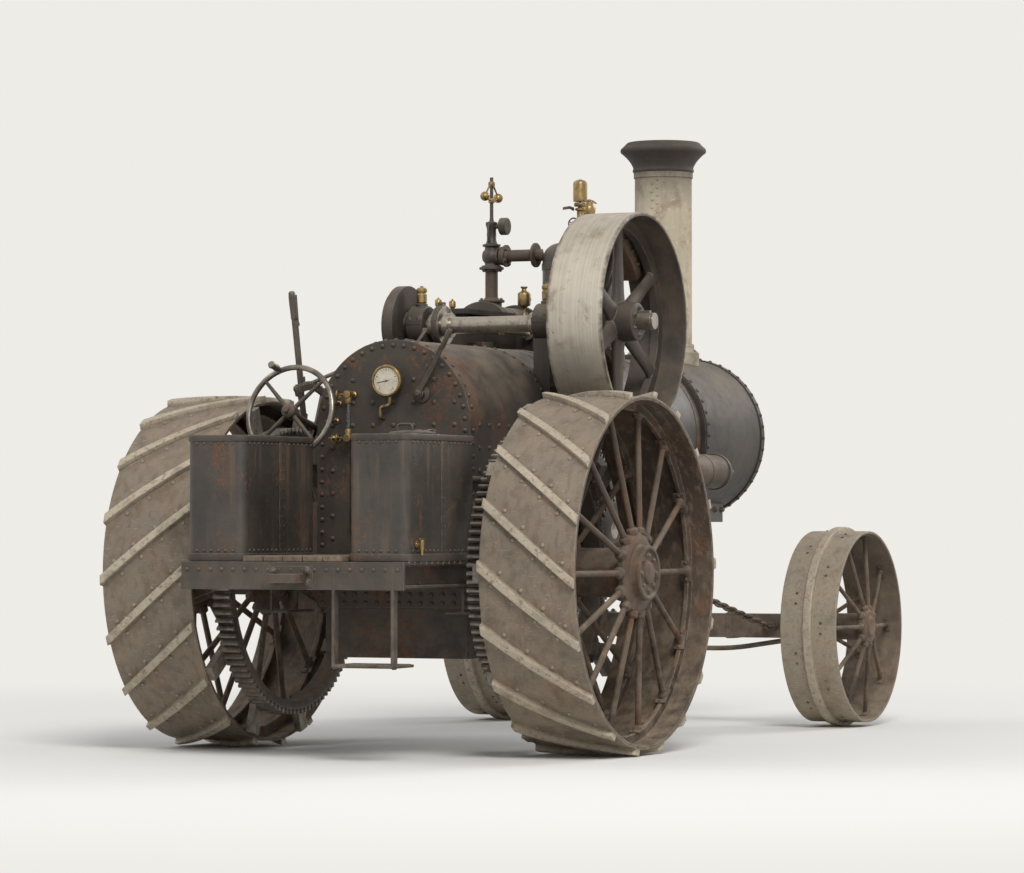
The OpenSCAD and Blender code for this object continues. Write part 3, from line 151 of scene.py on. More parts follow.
# Smokebox
# A rolled plate drum riveted to the barrel's front ring, closed by a ring plate with the door hole.
# It is painted with blacking, burnt thin by the heat, and dusty on its upper half.
class Wiring:
    """Sets nodes into one tree and joins them."""

    def __init__(self, tree):
        self.tree = tree
        self.place = self.node("ShaderNodeTexCoord").outputs["Object"]

    def node(self, kind, **settings):
        made = self.tree.nodes.new(kind)
        for key, value in settings.items():
            setattr(made, key, value)
        return made

    def feed(self, value, socket):
        if isinstance(value, bpy.types.NodeSocket):
            self.tree.links.new(value, socket)
        elif socket.type == "RGBA":
            socket.default_value = (*value[:3], 1)
        else:
            socket.default_value = value

    def sums(self, operation, first, second=0.0, clamp=False):
        made = self.node("ShaderNodeMath", operation=operation, use_clamp=clamp)
        self.feed(first, made.inputs[0])
        self.feed(second, made.inputs[1])
        return made.outputs[0]

    def times(self, first, second, clamp=False):
        return self.sums("MULTIPLY", first, second, clamp)

    def span(self, value, low, high, start=0.0, end=1.0):
        made = self.node("ShaderNodeMapRange")
        for socket, number in zip(made.inputs, (value, low, high, start, end)):
            self.feed(number, socket)
        return made.outputs[0]

    def blend(self, share, first, second):
        colours = any(isinstance(v, tuple) or getattr(v, "type", "") == "RGBA"
            for v in (first, second))
        made = self.node("ShaderNodeMix", data_type="RGBA" if colours else "FLOAT")
        a, b, out = (6, 7, 2) if colours else (2, 3, 0)
        for value, socket in ((share, 0), (first, a), (second, b)):
            self.feed(value, made.inputs[socket])
        return made.outputs[out]

    def cloud(self, scale, low=0.4, high=0.6, detail=6, stretch=(1, 1, 1), shift=0.0):
        """Noise on the object's own coordinates, cut to a mask between low and high."""
        turn = self.node("ShaderNodeMapping")
        turn.inputs["Scale"].default_value = stretch
        turn.inputs["Location"].default_value = (shift, shift * 0.7, shift * 1.3)
        self.feed(self.place, turn.inputs["Vector"])
        noise = self.node("ShaderNodeTexNoise")
        self.feed(turn.outputs[0], noise.inputs["Vector"])
        self.feed(scale, noise.inputs["Scale"])
        noise.inputs["Detail"].default_value = detail
        noise.inputs["Roughness"].default_value = 0.62
        return self.span(noise.outputs[0], low, high)

    def radius(self, centre, across):
        """Distance from centre, measured only along the axes that across counts."""
        away = self.node("ShaderNodeVectorMath", operation="SUBTRACT")
        self.feed(self.place, away.inputs[0])
        away.inputs[1].default_value = centre
        flat = self.node("ShaderNodeVectorMath", operation="MULTIPLY")
        self.feed(away.outputs[0], flat.inputs[0])
        flat.inputs[1].default_value = across
        length = self.node("ShaderNodeVectorMath", operation="LENGTH")
        self.feed(flat.outputs[0], length.inputs[0])
        return length.outputs["Value"]

    def part(self, vector, letter):
        made = self.node("ShaderNodeSeparateXYZ")
        self.feed(vector, made.inputs[0])
        return made.outputs[letter]


def shader_group(name, inputs, outputs):
    group = bpy.data.node_groups.new(name, "ShaderNodeTree")
    for label, value in inputs.items():
        group.interface.new_socket(label, in_out="INPUT",
            socket_type="NodeSocketFloat").default_value = value
    for label in outputs:
        kind = {"Colour": "NodeSocketColor", "Normal": "NodeSocketVector"}.get(label,
            "NodeSocketFloat")
        group.interface.new_socket(label, in_out="OUTPUT", socket_type=kind)
    wires = Wiring(group)
    return wires, wires.node("NodeGroupInput").outputs, wires.node("NodeGroupOutput").inputs


# edges rubbed bright, and the same edges rounded a little for the light
wires, given, gives = shader_group("worn_edges", {"Width": 0.006, "Amount": 0.6},
    ("Mask", "Normal"))
rounded = wires.node("ShaderNodeBevel", samples=4)
wires.feed(given["Width"], rounded.inputs["Radius"])
flat = wires.node("ShaderNodeNewGeometry")
agree = wires.node("ShaderNodeVectorMath", operation="DOT_PRODUCT")
wires.feed(rounded.outputs[0], agree.inputs[0])
wires.feed(flat.outputs["Normal"], agree.inputs[1])
edge = wires.span(agree.outputs["Value"], 0.985, 0.8)
edge = wires.times(edge, wires.cloud(26, 0.38, 0.66))
wires.feed(wires.times(edge, given["Amount"], clamp=True), gives["Mask"])
wires.feed(rounded.outputs[0], gives["Normal"])

# rust in blooms with a darker skin round each
wires, given, gives = shader_group("rust_bloom", {"Scale": 4.0, "Cover": 0.4},
    ("Mask", "Colour", "Height"))
patch = wires.cloud(given["Scale"], 0.0, 1.0, 10)
speck = wires.cloud(wires.times(given["Scale"], 14.0), 0.0, 1.0, 8, shift=3.1)
ground = wires.sums("ADD", wires.times(patch, 0.68), wires.times(speck, 0.32))
start = wires.span(given["Cover"], 0.0, 1.0, 0.66, 0.36)
mask = wires.span(ground, start, wires.sums("ADD", start, 0.09))
tone = wires.cloud(wires.times(given["Scale"], 30.0), 0.3, 0.7, 6, shift=7.7)
wires.feed(mask, gives["Mask"])
wires.feed(wires.blend(tone, (0.06, 0.027, 0.015), (0.175, 0.082, 0.04)), gives["Colour"])
wires.feed(wires.times(mask, tone), gives["Height"])

# field dust that settles on what faces up, and is thrown up from the ground
wires, given, gives = shader_group("dust_fall", {"Amount": 0.5, "Splash": 0.7}, ("Mask",))
facing = wires.part(wires.node("ShaderNodeNewGeometry").outputs["Normal"], "Z")
settled = wires.times(wires.span(facing, 0.1, 0.95), wires.cloud(8, 0.34, 0.62, 10))
height = wires.part(wires.place, "Z")
thrown = wires.times(wires.span(height, given["Splash"], 0.05), wires.cloud(13, 0.42, 0.62, 10,
    shift=5.0))
haze = wires.times(wires.cloud(3.0, 0.42, 0.72, 9, shift=9.0), 0.2)
total = wires.sums("ADD", wires.sums("ADD", settled, thrown), haze)
wires.feed(wires.times(total, given["Amount"], clamp=True), gives["Mask"])

# rain and oil run straight down the sides
wires, given, gives = shader_group("streaks", {"Scale": 16.0, "Amount": 0.5}, ("Mask",))
sideways = wires.sums("SUBTRACT", 1.0,
    wires.sums("ABSOLUTE", wires.part(wires.node("ShaderNodeNewGeometry").outputs["Normal"], "Z")))
runs = wires.cloud(given["Scale"], 0.5, 0.68, 5, stretch=(1, 1, 0.07))
fade = wires.cloud(3.0, 0.35, 0.6, 4, shift=2.0)
total = wires.times(wires.times(runs, fade), sideways)
wires.feed(wires.times(total, given["Amount"], clamp=True), gives["Mask"])

# the sand-cast skin: a fine grain with pits
wires, given, gives = shader_group("cast_skin", {"Scale": 150.0}, ("Height",))
grain = wires.cloud(given["Scale"], 0.25, 0.75, 4)
pits = wires.node("ShaderNodeTexVoronoi")
wires.feed(wires.place, pits.inputs["Vector"])
wires.feed(wires.times(given["Scale"], 0.35), pits.inputs["Scale"])
hollow = wires.span(pits.outputs["Distance"], 0.0, 0.28)
wires.feed(wires.sums("ADD", wires.times(grain, 0.6), wires.times(hollow, 0.4)), gives["Height"])

# rolled plate: slow hollows from the hammer and the rolls, and a fine mill scale
wires, given, gives = shader_group("plate_skin", {"Scale": 5.0}, ("Height",))
slow = wires.cloud(given["Scale"], 0.2, 0.8, 2)
scale = wires.cloud(wires.times(given["Scale"], 40.0), 0.35, 0.65, 5, shift=4.0)
wires.feed(wires.sums("ADD", wires.times(slow, 0.85), wires.times(scale, 0.15)), gives["Height"])

dust_tone = (0.335, 0.262, 0.178)
bare_iron = (0.3, 0.265, 0.225)


class Coat(Wiring):
    """A finish: a ground colour with layers of wear laid over it one after another."""

    def __init__(self, name, ground, second, roughness, metallic=0.0, patch=3.0):
        self.material = bpy.data.materials.new(name)
        self.material.use_nodes = True
        super().__init__(self.material.node_tree)
        self.shader = self.tree.nodes["Principled BSDF"]
        self.colour = self.blend(self.cloud(patch, 0.35, 0.68, 9), ground, second)
        self.rough = self.span(self.cloud(patch * 5, 0.2, 0.8, 7, shift=1.7), 0, 1, roughness - 0.1,
            roughness + 0.12)
        self.metal = metallic
        self.relief = []
        self.edge_normal = None

    def over(self, mask, colour, rough=None, metal=None):
        self.colour = self.blend(mask, self.colour, colour)
        if rough is not None:
            self.rough = self.blend(mask, self.rough, rough)
        if metal is not None:
            self.metal = self.blend(mask, self.metal, metal)
        return self

    def group(self, name, **values):
        made = self.node("ShaderNodeGroup", node_tree=bpy.data.node_groups[name])
        for label, value in values.items():
            made.inputs[label].default_value = value
        return made.outputs

    def raised(self, height, depth):
        self.relief.append((height, depth))
        return self

    def streaked(self, amount, colour=(0.02, 0.016, 0.013), rough=0.5, scale=16.0):
        return self.over(self.group("streaks", Amount=amount, Scale=scale)["Mask"], colour, rough)

    def rusted(self, cover, scale=4.0, depth=0.0008):
        rust = self.group("rust_bloom", Cover=cover, Scale=scale)
        self.over(rust["Mask"], rust["Colour"], 0.88, 0.0)
        return self.raised(rust["Height"], depth)

    def rubbed(self, amount, width=0.006, colour=bare_iron, rough=0.42, metal=0.75):
        edges = self.group("worn_edges", Amount=amount, Width=width)
        self.edge_normal = edges["Normal"]
        return self.over(edges["Mask"], colour, rough, metal)

    def dusted(self, amount, splash=0.7, colour=dust_tone):
        return self.over(self.group("dust_fall", Amount=amount, Splash=splash)["Mask"], colour,
            0.95, 0.0)

    def cast(self, depth=0.0006, scale=150.0):
        return self.raised(self.group("cast_skin", Scale=scale)["Height"], depth)

    def rolled(self, depth=0.0035, scale=5.0):
        return self.raised(self.group("plate_skin", Scale=scale)["Height"], depth)

    def done(self, slot=None):
        """Joins the layers to the shader. The slot argument is not used."""
        self.feed(self.colour, self.shader.inputs["Base Color"])
        self.feed(self.rough, self.shader.inputs["Roughness"])
        self.feed(self.metal, self.shader.inputs["Metallic"])
        normal = self.edge_normal
        for height, depth in self.relief:
            bump = self.node("ShaderNodeBump")
            bump.inputs["Strength"].default_value = 0.9
            bump.inputs["Distance"].default_value = depth
            self.feed(height, bump.inputs["Height"])
            if normal is not None:
                self.feed(normal, bump.inputs["Normal"])
            normal = bump.outputs[0]
        if normal is not None:
            self.feed(normal, self.shader.inputs["Normal"])
        return self.material


def dress(finish, *names):
    """Gives CAD nodes their finish."""
    for name in names:
        for place in nodes[name].material_slots:
            place.material = finish


# the six ways that a piece can face on the engine
forward, back = (1, 0, 0), (-1, 0, 0)
left, right = (0, 1, 0), (0, -1, 0)
up, down = (0, 0, 1), (0, 0, -1)


class Shape:
    """The faces of one piece, gathered in bmesh before it becomes an object."""

    def __init__(self):
        self.bm = bmesh.new()

    def rings(self, loops, closed_along=False):
        made = [[self.bm.verts.new(point) for point in loop] for loop in loops]
        count = len(made[0])
        pairs = list(zip(made, made[1:])) + ([(made[-1], made[0])] if closed_along else [])
        for low, high in pairs:
            for i in range(count):
                j = (i + 1) % count
                self.bm.faces.new((low[i], low[j], high[j], high[i]))
        if not closed_along:
            self.bm.faces.new(made[0][::-1])
            self.bm.faces.new(made[-1])
        return self

    def turned(self, profile, at, axis=up, steps=48, hollow=False, start=0.0):
        """A profile of (radius, distance along) turned about axis. A hollow profile is a closed loop."""
        axis, at = Vector(axis).normalized(), Vector(at)
        across = axis.cross(Vector((0.31, 0.17, 0.93))
            if abs(axis.z) < 0.9 else Vector(forward)).normalized()
        third = axis.cross(across)
        loops = []
        for radius, along in profile:
            radius = max(radius, 0.0002)
            loops.append([at + axis * along + (across * cos(a) + third * sin(a)) * radius
                for a in (start + tau * i / steps for i in range(steps))])
        return self.rings(loops, closed_along=hollow)

    def lathe(self, profile, at, axis=up, steps=48, hollow=False):
        """Turns a profile given in millimetres."""
        return self.turned([(r / 1000, z / 1000) for r, z in profile], at, axis, steps, hollow)

    def ring(self, inner, outer, low, high, at, axis=up, steps=48):
        """A plain band, collar or washer from low to high along axis."""
        return self.turned([(inner, low), (outer, low), (outer, high), (inner, high)], at, axis,
            steps, True)

    def disc(self, radius, low, high, at, axis=up, steps=48):
        return self.turned([(0, low), (radius, low), (radius, high), (0, high)], at, axis, steps)

    def block(self, low, high, move=None):
        x0, y0, z0 = low
        x1, y1, z1 = high
        corners = [Vector(p) for p in ((x0, y0, z0), (x1, y0, z0), (x1, y1, z0), (x0, y1, z0),
            (x0, y0, z1), (x1, y0, z1), (x1, y1, z1), (x0, y1, z1))]
        if move is not None:
            corners = [move @ p for p in corners]
        return self.rings([corners[:4], corners[4:]])

    def bar(self, a, b, r, r2=None, steps=16):
        a, b = Vector(a), Vector(b)
        length = (b - a).length
        return self.turned([(r, 0), (r if r2 is None else r2, length)], a, b - a, steps)

    def hexagon(self, at, axis, r, height):
        self.turned([(r * 1.25, 0), (r * 1.25, height * 0.2)], at, axis, 14)
        self.turned([(r, height * 0.15), (r, height * 0.85), (r * 0.84, height)], at, axis, 6)
        return self

    def pipe(self, points, r, steps=14, bend=0.05):
        """A round bar or pipe along points, its corners rounded to the radius bend."""
        points = [Vector(p) for p in points]
        path = [points[0]]
        for before, corner, after in zip(points, points[1:], points[2:]):
            reach = min(bend, (before - corner).length * 0.48, (after - corner).length * 0.48)
            a = corner + (before - corner).normalized() * reach
            b = corner + (after - corner).normalized() * reach
            path += [a.lerp(corner, t).lerp(corner.lerp(b, t), t) for t in (0, 0.25, 0.5, 0.75, 1)]
        path.append(points[-1])
        path = [p for i, p in enumerate(path) if i == 0 or (p - path[i - 1]).length > 1e-5]
        ways = [(path[min(i + 1, len(path) - 1)] - path[max(i - 1, 0)]).normalized()
            for i in range(len(path))]
        across = ways[0].orthogonal().normalized()
        loops = []
        for point, way in zip(path, ways):
            across = (across - way * across.dot(way)).normalized()
            third = way.cross(across)
            loops.append([point + (across * cos(a) + third * sin(a)) * r for a in (tau * i / steps
                for i in range(steps))])
        return self.rings(loops)

    def ribbon(self, points, outs, half, thick):
        """A flat strap along points: half is its half-width vector and outs its outward directions."""
        half = Vector(half)
        loops = []
        for point, out in zip(points, outs):
            point, lift = Vector(point), Vector(out).normalized() * thick
            loops.append([point - half, point + half, point + half + lift, point - half + lift])
        return self.rings(loops)

    def hoop(self, centre, axis, ring_r, bar_r, steps=48, sides=10):
        """A round bar bent to a full ring."""
        axis, centre = Vector(axis).normalized(), Vector(centre)
        across = axis.orthogonal().normalized()
        third = axis.cross(across)
        loops = []
        for i in range(steps):
            a = tau * i / steps
            out = across * cos(a) + third * sin(a)
            loops.append([centre + out * (ring_r + bar_r * cos(b)) + axis * bar_r * sin(b)
                for b in (tau * j / sides for j in range(sides))])
        return self.rings(loops, closed_along=True)

    def made(self, name, finish, body="root", bevel=0.0, stands_for=(), sharp=35, slot=None):
        """Closes the shape as a named piece that rides on a body."""
        bmesh.ops.remove_doubles(self.bm, verts=self.bm.verts, dist=1e-6)
        bmesh.ops.recalc_face_normals(self.bm, faces=self.bm.faces)
        mesh = bpy.data.meshes.new(name)
        self.bm.to_mesh(mesh)
        self.bm.free()
        mesh.materials.append(finish)
        mesh.polygons.foreach_set("use_smooth", [True] * len(mesh.polygons))
        mesh.set_sharp_from_angle(angle=radians(sharp))
        piece = bpy.data.objects.new(name, mesh)
        bpy.context.scene.collection.objects.link(piece)
        if bevel:
            edge = piece.modifiers.new("soft_edge", "BEVEL")
            edge.width = bevel
            edge.segments = 2
            edge.limit_method = "ANGLE"
            edge.angle_limit = radians(sharp)
            edge.use_clamp_overlap = True
        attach(piece, body)
        if stands_for:
            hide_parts(*stands_for)
        return piece


def points_tree(name, **sizes):
    """Geometry Nodes: a tree that takes points, these sizes and a finish."""
    tree = bpy.data.node_groups.new(name, "GeometryNodeTree")
    socket = tree.interface.new_socket
    socket("Geometry", in_out="INPUT", socket_type="NodeSocketGeometry")
    for label, size in sizes.items():
        socket(label, in_out="INPUT", socket_type="NodeSocketFloat").default_value = size
    socket("Finish", in_out="INPUT", socket_type="NodeSocketMaterial")
    socket("Geometry", in_out="OUTPUT", socket_type="NodeSocketGeometry")
    return tree, tree.nodes.new, tree.links.new, tree.nodes.new("NodeGroupInput")


def aimed(add, join):
    """The turn that stands a shape along the point's aim."""
    aim = add("GeometryNodeInputNamedAttribute")
    aim.data_type = "FLOAT_VECTOR"
    aim.inputs["Name"].default_value = "aim"
    turn = add("FunctionNodeAlignRotationToVector")
    turn.axis = "Z"
    join(aim.outputs[0], turn.inputs["Vector"])
    return turn.outputs[0]


def set_on_points(add, join, given, shape, turn):
    """Sets the shape on every point, makes it real and gives it the finish."""
    spread = add("GeometryNodeInstanceOnPoints")
    join(given.outputs["Geometry"], spread.inputs["Points"])
    join(shape, spread.inputs["Instance"])
    join(turn, spread.inputs["Rotation"])
    real = add("GeometryNodeRealizeInstances")
    join(spread.outputs[0], real.inputs[0])
    paint = add("GeometryNodeSetMaterial")
    join(real.outputs[0], paint.inputs["Geometry"])
    join(given.outputs["Finish"], paint.inputs["Material"])
    join(paint.outputs[0], add("NodeGroupOutput").inputs[0])


def head_tree(name, hexagonal):
    """A rivet or bolt head on every point."""
    tree, add, join, given = points_tree(name, Radius=0.01, Height=0.006)
    size = add("ShaderNodeCombineXYZ")
    join(given.outputs["Radius"], size.inputs[0])
    join(given.outputs["Radius"], size.inputs[1])
    join(given.outputs["Height"], size.inputs[2])
    if hexagonal:
        solids = []
        for corners, radius, depth in ((6, 1.0, 2.0), (12, 1.35, 0.4), (8, 0.5, 2.8)):
            solid = add("GeometryNodeMeshCylinder")
            for label, value in (("Vertices", corners), ("Radius", radius), ("Depth", depth)):
                solid.inputs[label].default_value = value
            solids.append(solid)
        head = add("GeometryNodeJoinGeometry")
        for solid in solids:
            join(solid.outputs["Mesh"], head.inputs[0])
        out = head.outputs[0]
    else:
        dome = add("GeometryNodeMeshUVSphere")
        dome.inputs["Segments"].default_value = 8
        dome.inputs["Rings"].default_value = 5
        smooth = add("GeometryNodeSetShadeSmooth")
        join(dome.outputs["Mesh"], smooth.inputs[0])
        out = smooth.outputs[0]
    shaped = add("GeometryNodeTransform")
    join(out, shaped.inputs["Geometry"])
    join(size.outputs[0], shaped.inputs["Scale"])
    set_on_points(add, join, given, shaped.outputs[0], aimed(add, join))
    return tree


rivet_heads = head_tree("rivet_heads", False)
bolt_heads = head_tree("bolt_heads", True)


def grown(piece, tree, **inputs):
    """Runs a tree on a piece with these inputs and keeps the result as its plain mesh."""
    work = piece.modifiers.new("grow", "NODES")
    work.node_group = tree
    for item in tree.interface.items_tree:
        if item.in_out == "INPUT" and item.name in inputs:
            work[item.identifier] = inputs[item.name]
    mesh = bpy.data.meshes.new_from_object(piece.evaluated_get(bpy.context.evaluated_depsgraph_get()))
    piece.modifiers.clear()
    piece.data = mesh
    return piece


def heads(name, places, radius, height, finish, body="root", tree=rivet_heads):
    """Rivets or bolts at (point, outward) places, as one piece."""
    mesh = bpy.data.meshes.new(name)
    mesh.from_pydata([tuple(point) for point, _ in places], [], [])
    aim = mesh.attributes.new("aim", "FLOAT_VECTOR", "POINT")
    aim.data.foreach_set("vector", [c for _, out in places for c in Vector(out).normalized()])
    piece = bpy.data.objects.new(name, mesh)
    bpy.context.scene.collection.objects.link(piece)
    grown(piece, tree, Radius=radius, Height=height, Finish=finish)
    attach(piece, body)
    return piece


def ring_places(centre, axis, radius, count, outward=True, start=0.0, stop=tau):
    """Places round a circle, aimed outward or along the axis."""
    axis, centre = Vector(axis).normalized(), Vector(centre)
    across = Vector(up) if abs(axis.z) < 0.9 else Vector(forward)
    third = axis.cross(across)
    places = []
    for i in range(count):
        a = start + (stop - start) * i / count
        out = across * cos(a) + third * sin(a)
        places.append((centre + out * radius, out if outward else axis))
    return places


boiler_z = 1.5
smokebox_r = 0.415
smokebox_x = (1.4125, 2.2125)
blacking = (Coat("smokebox_iron", (0.026, 0.023, 0.02), (0.062, 0.05, 0.04), 0.58, 0.15)
    .rusted(0.3, 5.0).streaked(0.5).rubbed(0.7).dusted(0.4, 0.4).rolled(0.0025).cast(0.0002, 260)
    .done("smokebox_iron"))
dress(blacking, "smokebox")
hoops = Shape()
for x in (smokebox_x[0] + 0.004, smokebox_x[1] - 0.044):
    hoops.ring(0.4135, 0.4225, 0, 0.04, (x, 0, boiler_z), forward, 96)
hoops.made("smokebox_hoops", blacking, bevel=0.002)
places = []
for x in (smokebox_x[0] + 0.024, smokebox_x[1] - 0.024):
    places += ring_places((x, 0, boiler_z), forward, 0.4225, 44)
places += ring_places((smokebox_x[1], 0, boiler_z), forward, 0.385, 40, outward=False)
seam = radians(205)
for row in (0.0, 0.055):
    out = Vector((0, sin(seam + row), cos(seam + row)))
    places += [(Vector((x / 1000, 0, boiler_z)) + out * smokebox_r, out)
        for x in range(1480, 2160, 48)]
heads("smokebox_rivets", places, 0.0115, 0.008, blacking)


# Smokebox door
# A dished cast door on two long strap hinges, drawn shut by a hand nut in the middle and by dogs
# round its rim, which swing with it. Its blank boss once carried a number plate.
door_iron = (Coat("door_iron", (0.04, 0.034, 0.029), (0.085, 0.066, 0.05), 0.62, 0.2)
    .rusted(0.38, 7.0).streaked(0.5).rubbed(0.8, 0.008).dusted(0.4, 0.4).cast(0.0007)
    .done("smokebox_iron"))
door_x = smokebox_x[1]
dish = [(0.0, 0.062), (0.05, 0.0615), (0.11, 0.057), (0.17, 0.049), (0.23, 0.038), (0.275, 0.0285),
    (0.3, 0.024), (0.312, 0.021), (0.32, 0.014), (0.32, 0.0003), (0, 0.0003)]
shape = Shape().turned(dish, (door_x, 0, boiler_z), forward, 96)
shape.lathe([(0, 50), (52, 50), (52, 66), (46, 71), (0, 71)], (door_x, 0, boiler_z), forward, 32)


def dish_height(radius):
    for (r0, h0), (r1, h1) in zip(dish, dish[1:]):
        if r0 <= radius <= r1:
            return h0 + (h1 - h0) * (radius - r0) / (r1 - r0)
    return 0.016


hinge_y, hinge_x = 0.344, door_x + 0.022
for z in (-0.15, 0.15):
    path, outs = [], []
    for i in range(25):
        y = -0.215 + 0.545 * i / 24
        path.append((door_x + dish_height(hypot(y, z)) - 0.001, y, boiler_z + z))
        outs.append(forward)
    shape.ribbon(path, outs, (0, 0, 0.021), 0.01)
    knuckle = z * 0.75
    shape.bar((hinge_x, hinge_y, boiler_z + knuckle - 0.022),
        (hinge_x, hinge_y, boiler_z + knuckle + 0.022), 0.0155)
    shape.block((door_x + 0.008, 0.3, boiler_z + knuckle - 0.018), (door_x + 0.028, hinge_y,
        boiler_z + knuckle + 0.018))
shape.bar((hinge_x, hinge_y, 1.315), (hinge_x, hinge_y, 1.685), 0.0088)
for z in (1.309, 1.679):
    shape.lathe([(14, 0), (14, 9), (8, 13)], (hinge_x, hinge_y, z), up, 14)
shape.made("smokebox_door_dish", door_iron, "smokebox_door", 0.0018, ("smokebox_door",))
shape = Shape()
for a in range(15, 360, 45):
    out = Vector((0, sin(radians(a)), cos(radians(a))))
    side = Vector(forward).cross(out) * 0.017
    root_at = Vector((door_x + 0.03, 0, boiler_z)) + out * 0.262
    tip = Vector((door_x + 0.017, 0, boiler_z)) + out * 0.333
    shape.ribbon([root_at, tip], [forward, forward], side, 0.012)
    shape.hexagon(root_at.lerp(tip, 0.38) + Vector((0.009, 0, 0)), forward, 0.014, 0.018)
grip = Vector((door_x + 0.088, 0, boiler_z))
shape.hexagon((door_x + 0.07, 0, boiler_z), forward, 0.026, 0.022)
shape.bar(grip, grip + Vector((0.045, 0, 0)), 0.014)
shape.bar(grip + Vector((0.03, -0.085, -0.03)), grip + Vector((0.03, 0.085, 0.03)), 0.009)
for s in (-1, 1):
    shape.lathe([(0, -14), (10, -11), (14, 0), (10, 11), (0, 14)],
        grip + Vector((0.03, s * 0.09, s * 0.0318)), (0, s, s * 0.35), 14)
shape.made("smokebox_door_dogs", door_iron, "smokebox_door", 0.0015)
heads("smokebox_door_rivets",
    [((door_x + dish_height(hypot(y / 1000, z)) + 0.009, y / 1000, boiler_z + z), forward)
    for z in (-0.15, 0.15) for y in (-185, -110, -35, 40, 115, 190, 265)], 0.011, 0.007, door_iron,
    "smokebox_door")


# Stack
# A rolled tube on a cast base that is saddled on the smokebox, lap-riveted down its rear side. The
# paint has burnt off to an ashy tan, whiter on the weather side and sooty under the cap.
stack_x = 1.8325
coat = Coat("stack_ash", (0.52, 0.45, 0.33), (0.4, 0.335, 0.235), 0.84, 0.0, 2.2)
coat.over(coat.cloud(9, 0.52, 0.72, 9, shift=3.0), (0.27, 0.215, 0.145), 0.9)
coat.over(coat.cloud(34, 0.56, 0.72, 8, shift=6.0), (0.62, 0.55, 0.42), 0.92)
coat.rusted(0.22, 9.0).streaked(0.55, (0.17, 0.13, 0.085), 0.85, 20.0)
soot = coat.times(coat.span(coat.part(coat.place, "Z"), 2.68, 2.9),
    coat.span(coat.cloud(14, 0.25, 0.7, 6, shift=1.0), 0, 1, 0.72, 1.0))
coat.over(coat.times(soot, 0.88), (0.05, 0.041, 0.033), 0.9)
base = coat.times(coat.span(coat.part(coat.place, "Z"), 2.02, 1.93), coat.cloud(12, 0.3, 0.6, 6,
    shift=8.0))
coat.over(coat.times(base, 0.7), (0.085, 0.066, 0.05), 0.8)
ash = coat.rubbed(0.25, 0.005, (0.2, 0.16, 0.115), 0.7, 0.3).rolled(0.0028, 7.0).cast(0.0003,
    320).done("stack_ash")
dress(ash, "stack")
places = [((stack_x - 0.15, 0.0, z / 1000), back) for z in range(1985, 2870, 42)]
places += [((stack_x - 0.1475, -0.0275, z / 1000), (-0.98, -0.18, 0))
    for z in range(2006, 2860, 42)]
heads("stack_rivets", places, 0.0085, 0.006, ash)
shape = Shape()
shape.ring(0.149, 0.1555, 0, 0.03, (stack_x, 0, 2.86), steps=72)
shape.lathe([(149, 0), (159.5, 0), (162.5, 12), (159.5, 26), (149, 26)], (stack_x, 0, 1.962),
    steps=72, hollow=True)
shape.made("stack_bands", ash, bevel=0.0015)
heads("stack_base_bolts", [((stack_x + 0.171 * cos(a), 0.171 * sin(a), 1.939), up)
    for a in (tau * (i + 0.5) / 10 for i in range(10))], 0.0125, 0.012, blacking, tree=bolt_heads)


# Stack cap
# A cast cap that flares out of the tube to a sharp brim and bevels in again, black with soot.
cap_iron = (Coat("cap_iron", (0.026, 0.022, 0.019), (0.058, 0.047, 0.038), 0.74, 0.1)
            .rusted(0.3, 8.0).rubbed(0.7, 0.006, (0.13, 0.105, 0.08), 0.6, 0.4).dusted(0.14, 0.2)
            .cast(0.0009, 120).done("cap_iron"))
cap_z = 2.89
profile = [(0.1415, 0.0), (0.156, 0.0), (0.161, 0.005), (0.161, 0.014), (0.1575, 0.019),
    (0.16, 0.03), (0.169, 0.048), (0.183, 0.067), (0.199, 0.084), (0.212, 0.096), (0.221, 0.102),
    (0.225, 0.109), (0.225, 0.119), (0.2215, 0.126), (0.212, 0.134), (0.201, 0.145), (0.193, 0.154),
    (0.184, 0.1585), (0.17, 0.16), (0.148, 0.16), (0.1415, 0.155)]
Shape().turned(profile, (stack_x, 0, cap_z), steps=96, hollow=True).made("stack_cap_casting",
    cap_iron, stands_for=("stack_cap",), sharp=50)


# Boiler barrel
# The pressure barrel is out of sight under wooden lagging and thin sheet, black enamelled, drawn up
# tight by five hoops with a clamp under the belly. Oil and dust have dulled it.
barrel_r = 0.39
barrel_x = (-0.4401, 1.4125)
hoop_x = [smokebox_x[0] - gap for gap in (0.0375, 0.3725, 0.9125, 1.1585, 1.4725)]


def enamel(name):
    """Black enamel over sheet, streaked by rain and with rust coming through."""
    return (Coat(name, (0.018, 0.016, 0.014), (0.046, 0.037, 0.03), 0.38, 0.1, 2.0)
            .rusted(0.22, 3.4).streaked(0.55, (0.11, 0.088, 0.062), 0.75, 11.0))


coat = enamel("lagging_black")
proud = coat.span(coat.radius((0, 0, boiler_z), (0, 1, 1)), barrel_r + 0.0014, barrel_r + 0.0024)
iron_tone = coat.blend(coat.cloud(10, 0.42, 0.62, 8, shift=4.0), (0.05, 0.041, 0.034),
    (0.14, 0.082, 0.048))
coat.over(proud, iron_tone, 0.52, 0.35)
barrel_skin = coat.rubbed(0.7, 0.004).dusted(0.46, 0.4).rolled(0.0045, 4.0).done()
lagging = enamel("dome_lagging").rubbed(0.5).dusted(0.46, 0.4).rolled(0.0045,
    4.0).done("lagging_black")
dress(barrel_skin, "boiler_barrel")
hoop_iron = (Coat("hoop_iron", (0.052, 0.043, 0.036), (0.115, 0.092, 0.07), 0.5, 0.45)
    .rusted(0.4, 10.0).streaked(0.4).rubbed(0.9, 0.004).dusted(0.45, 0.5).done("lagging_black"))
places, bolts = [], []
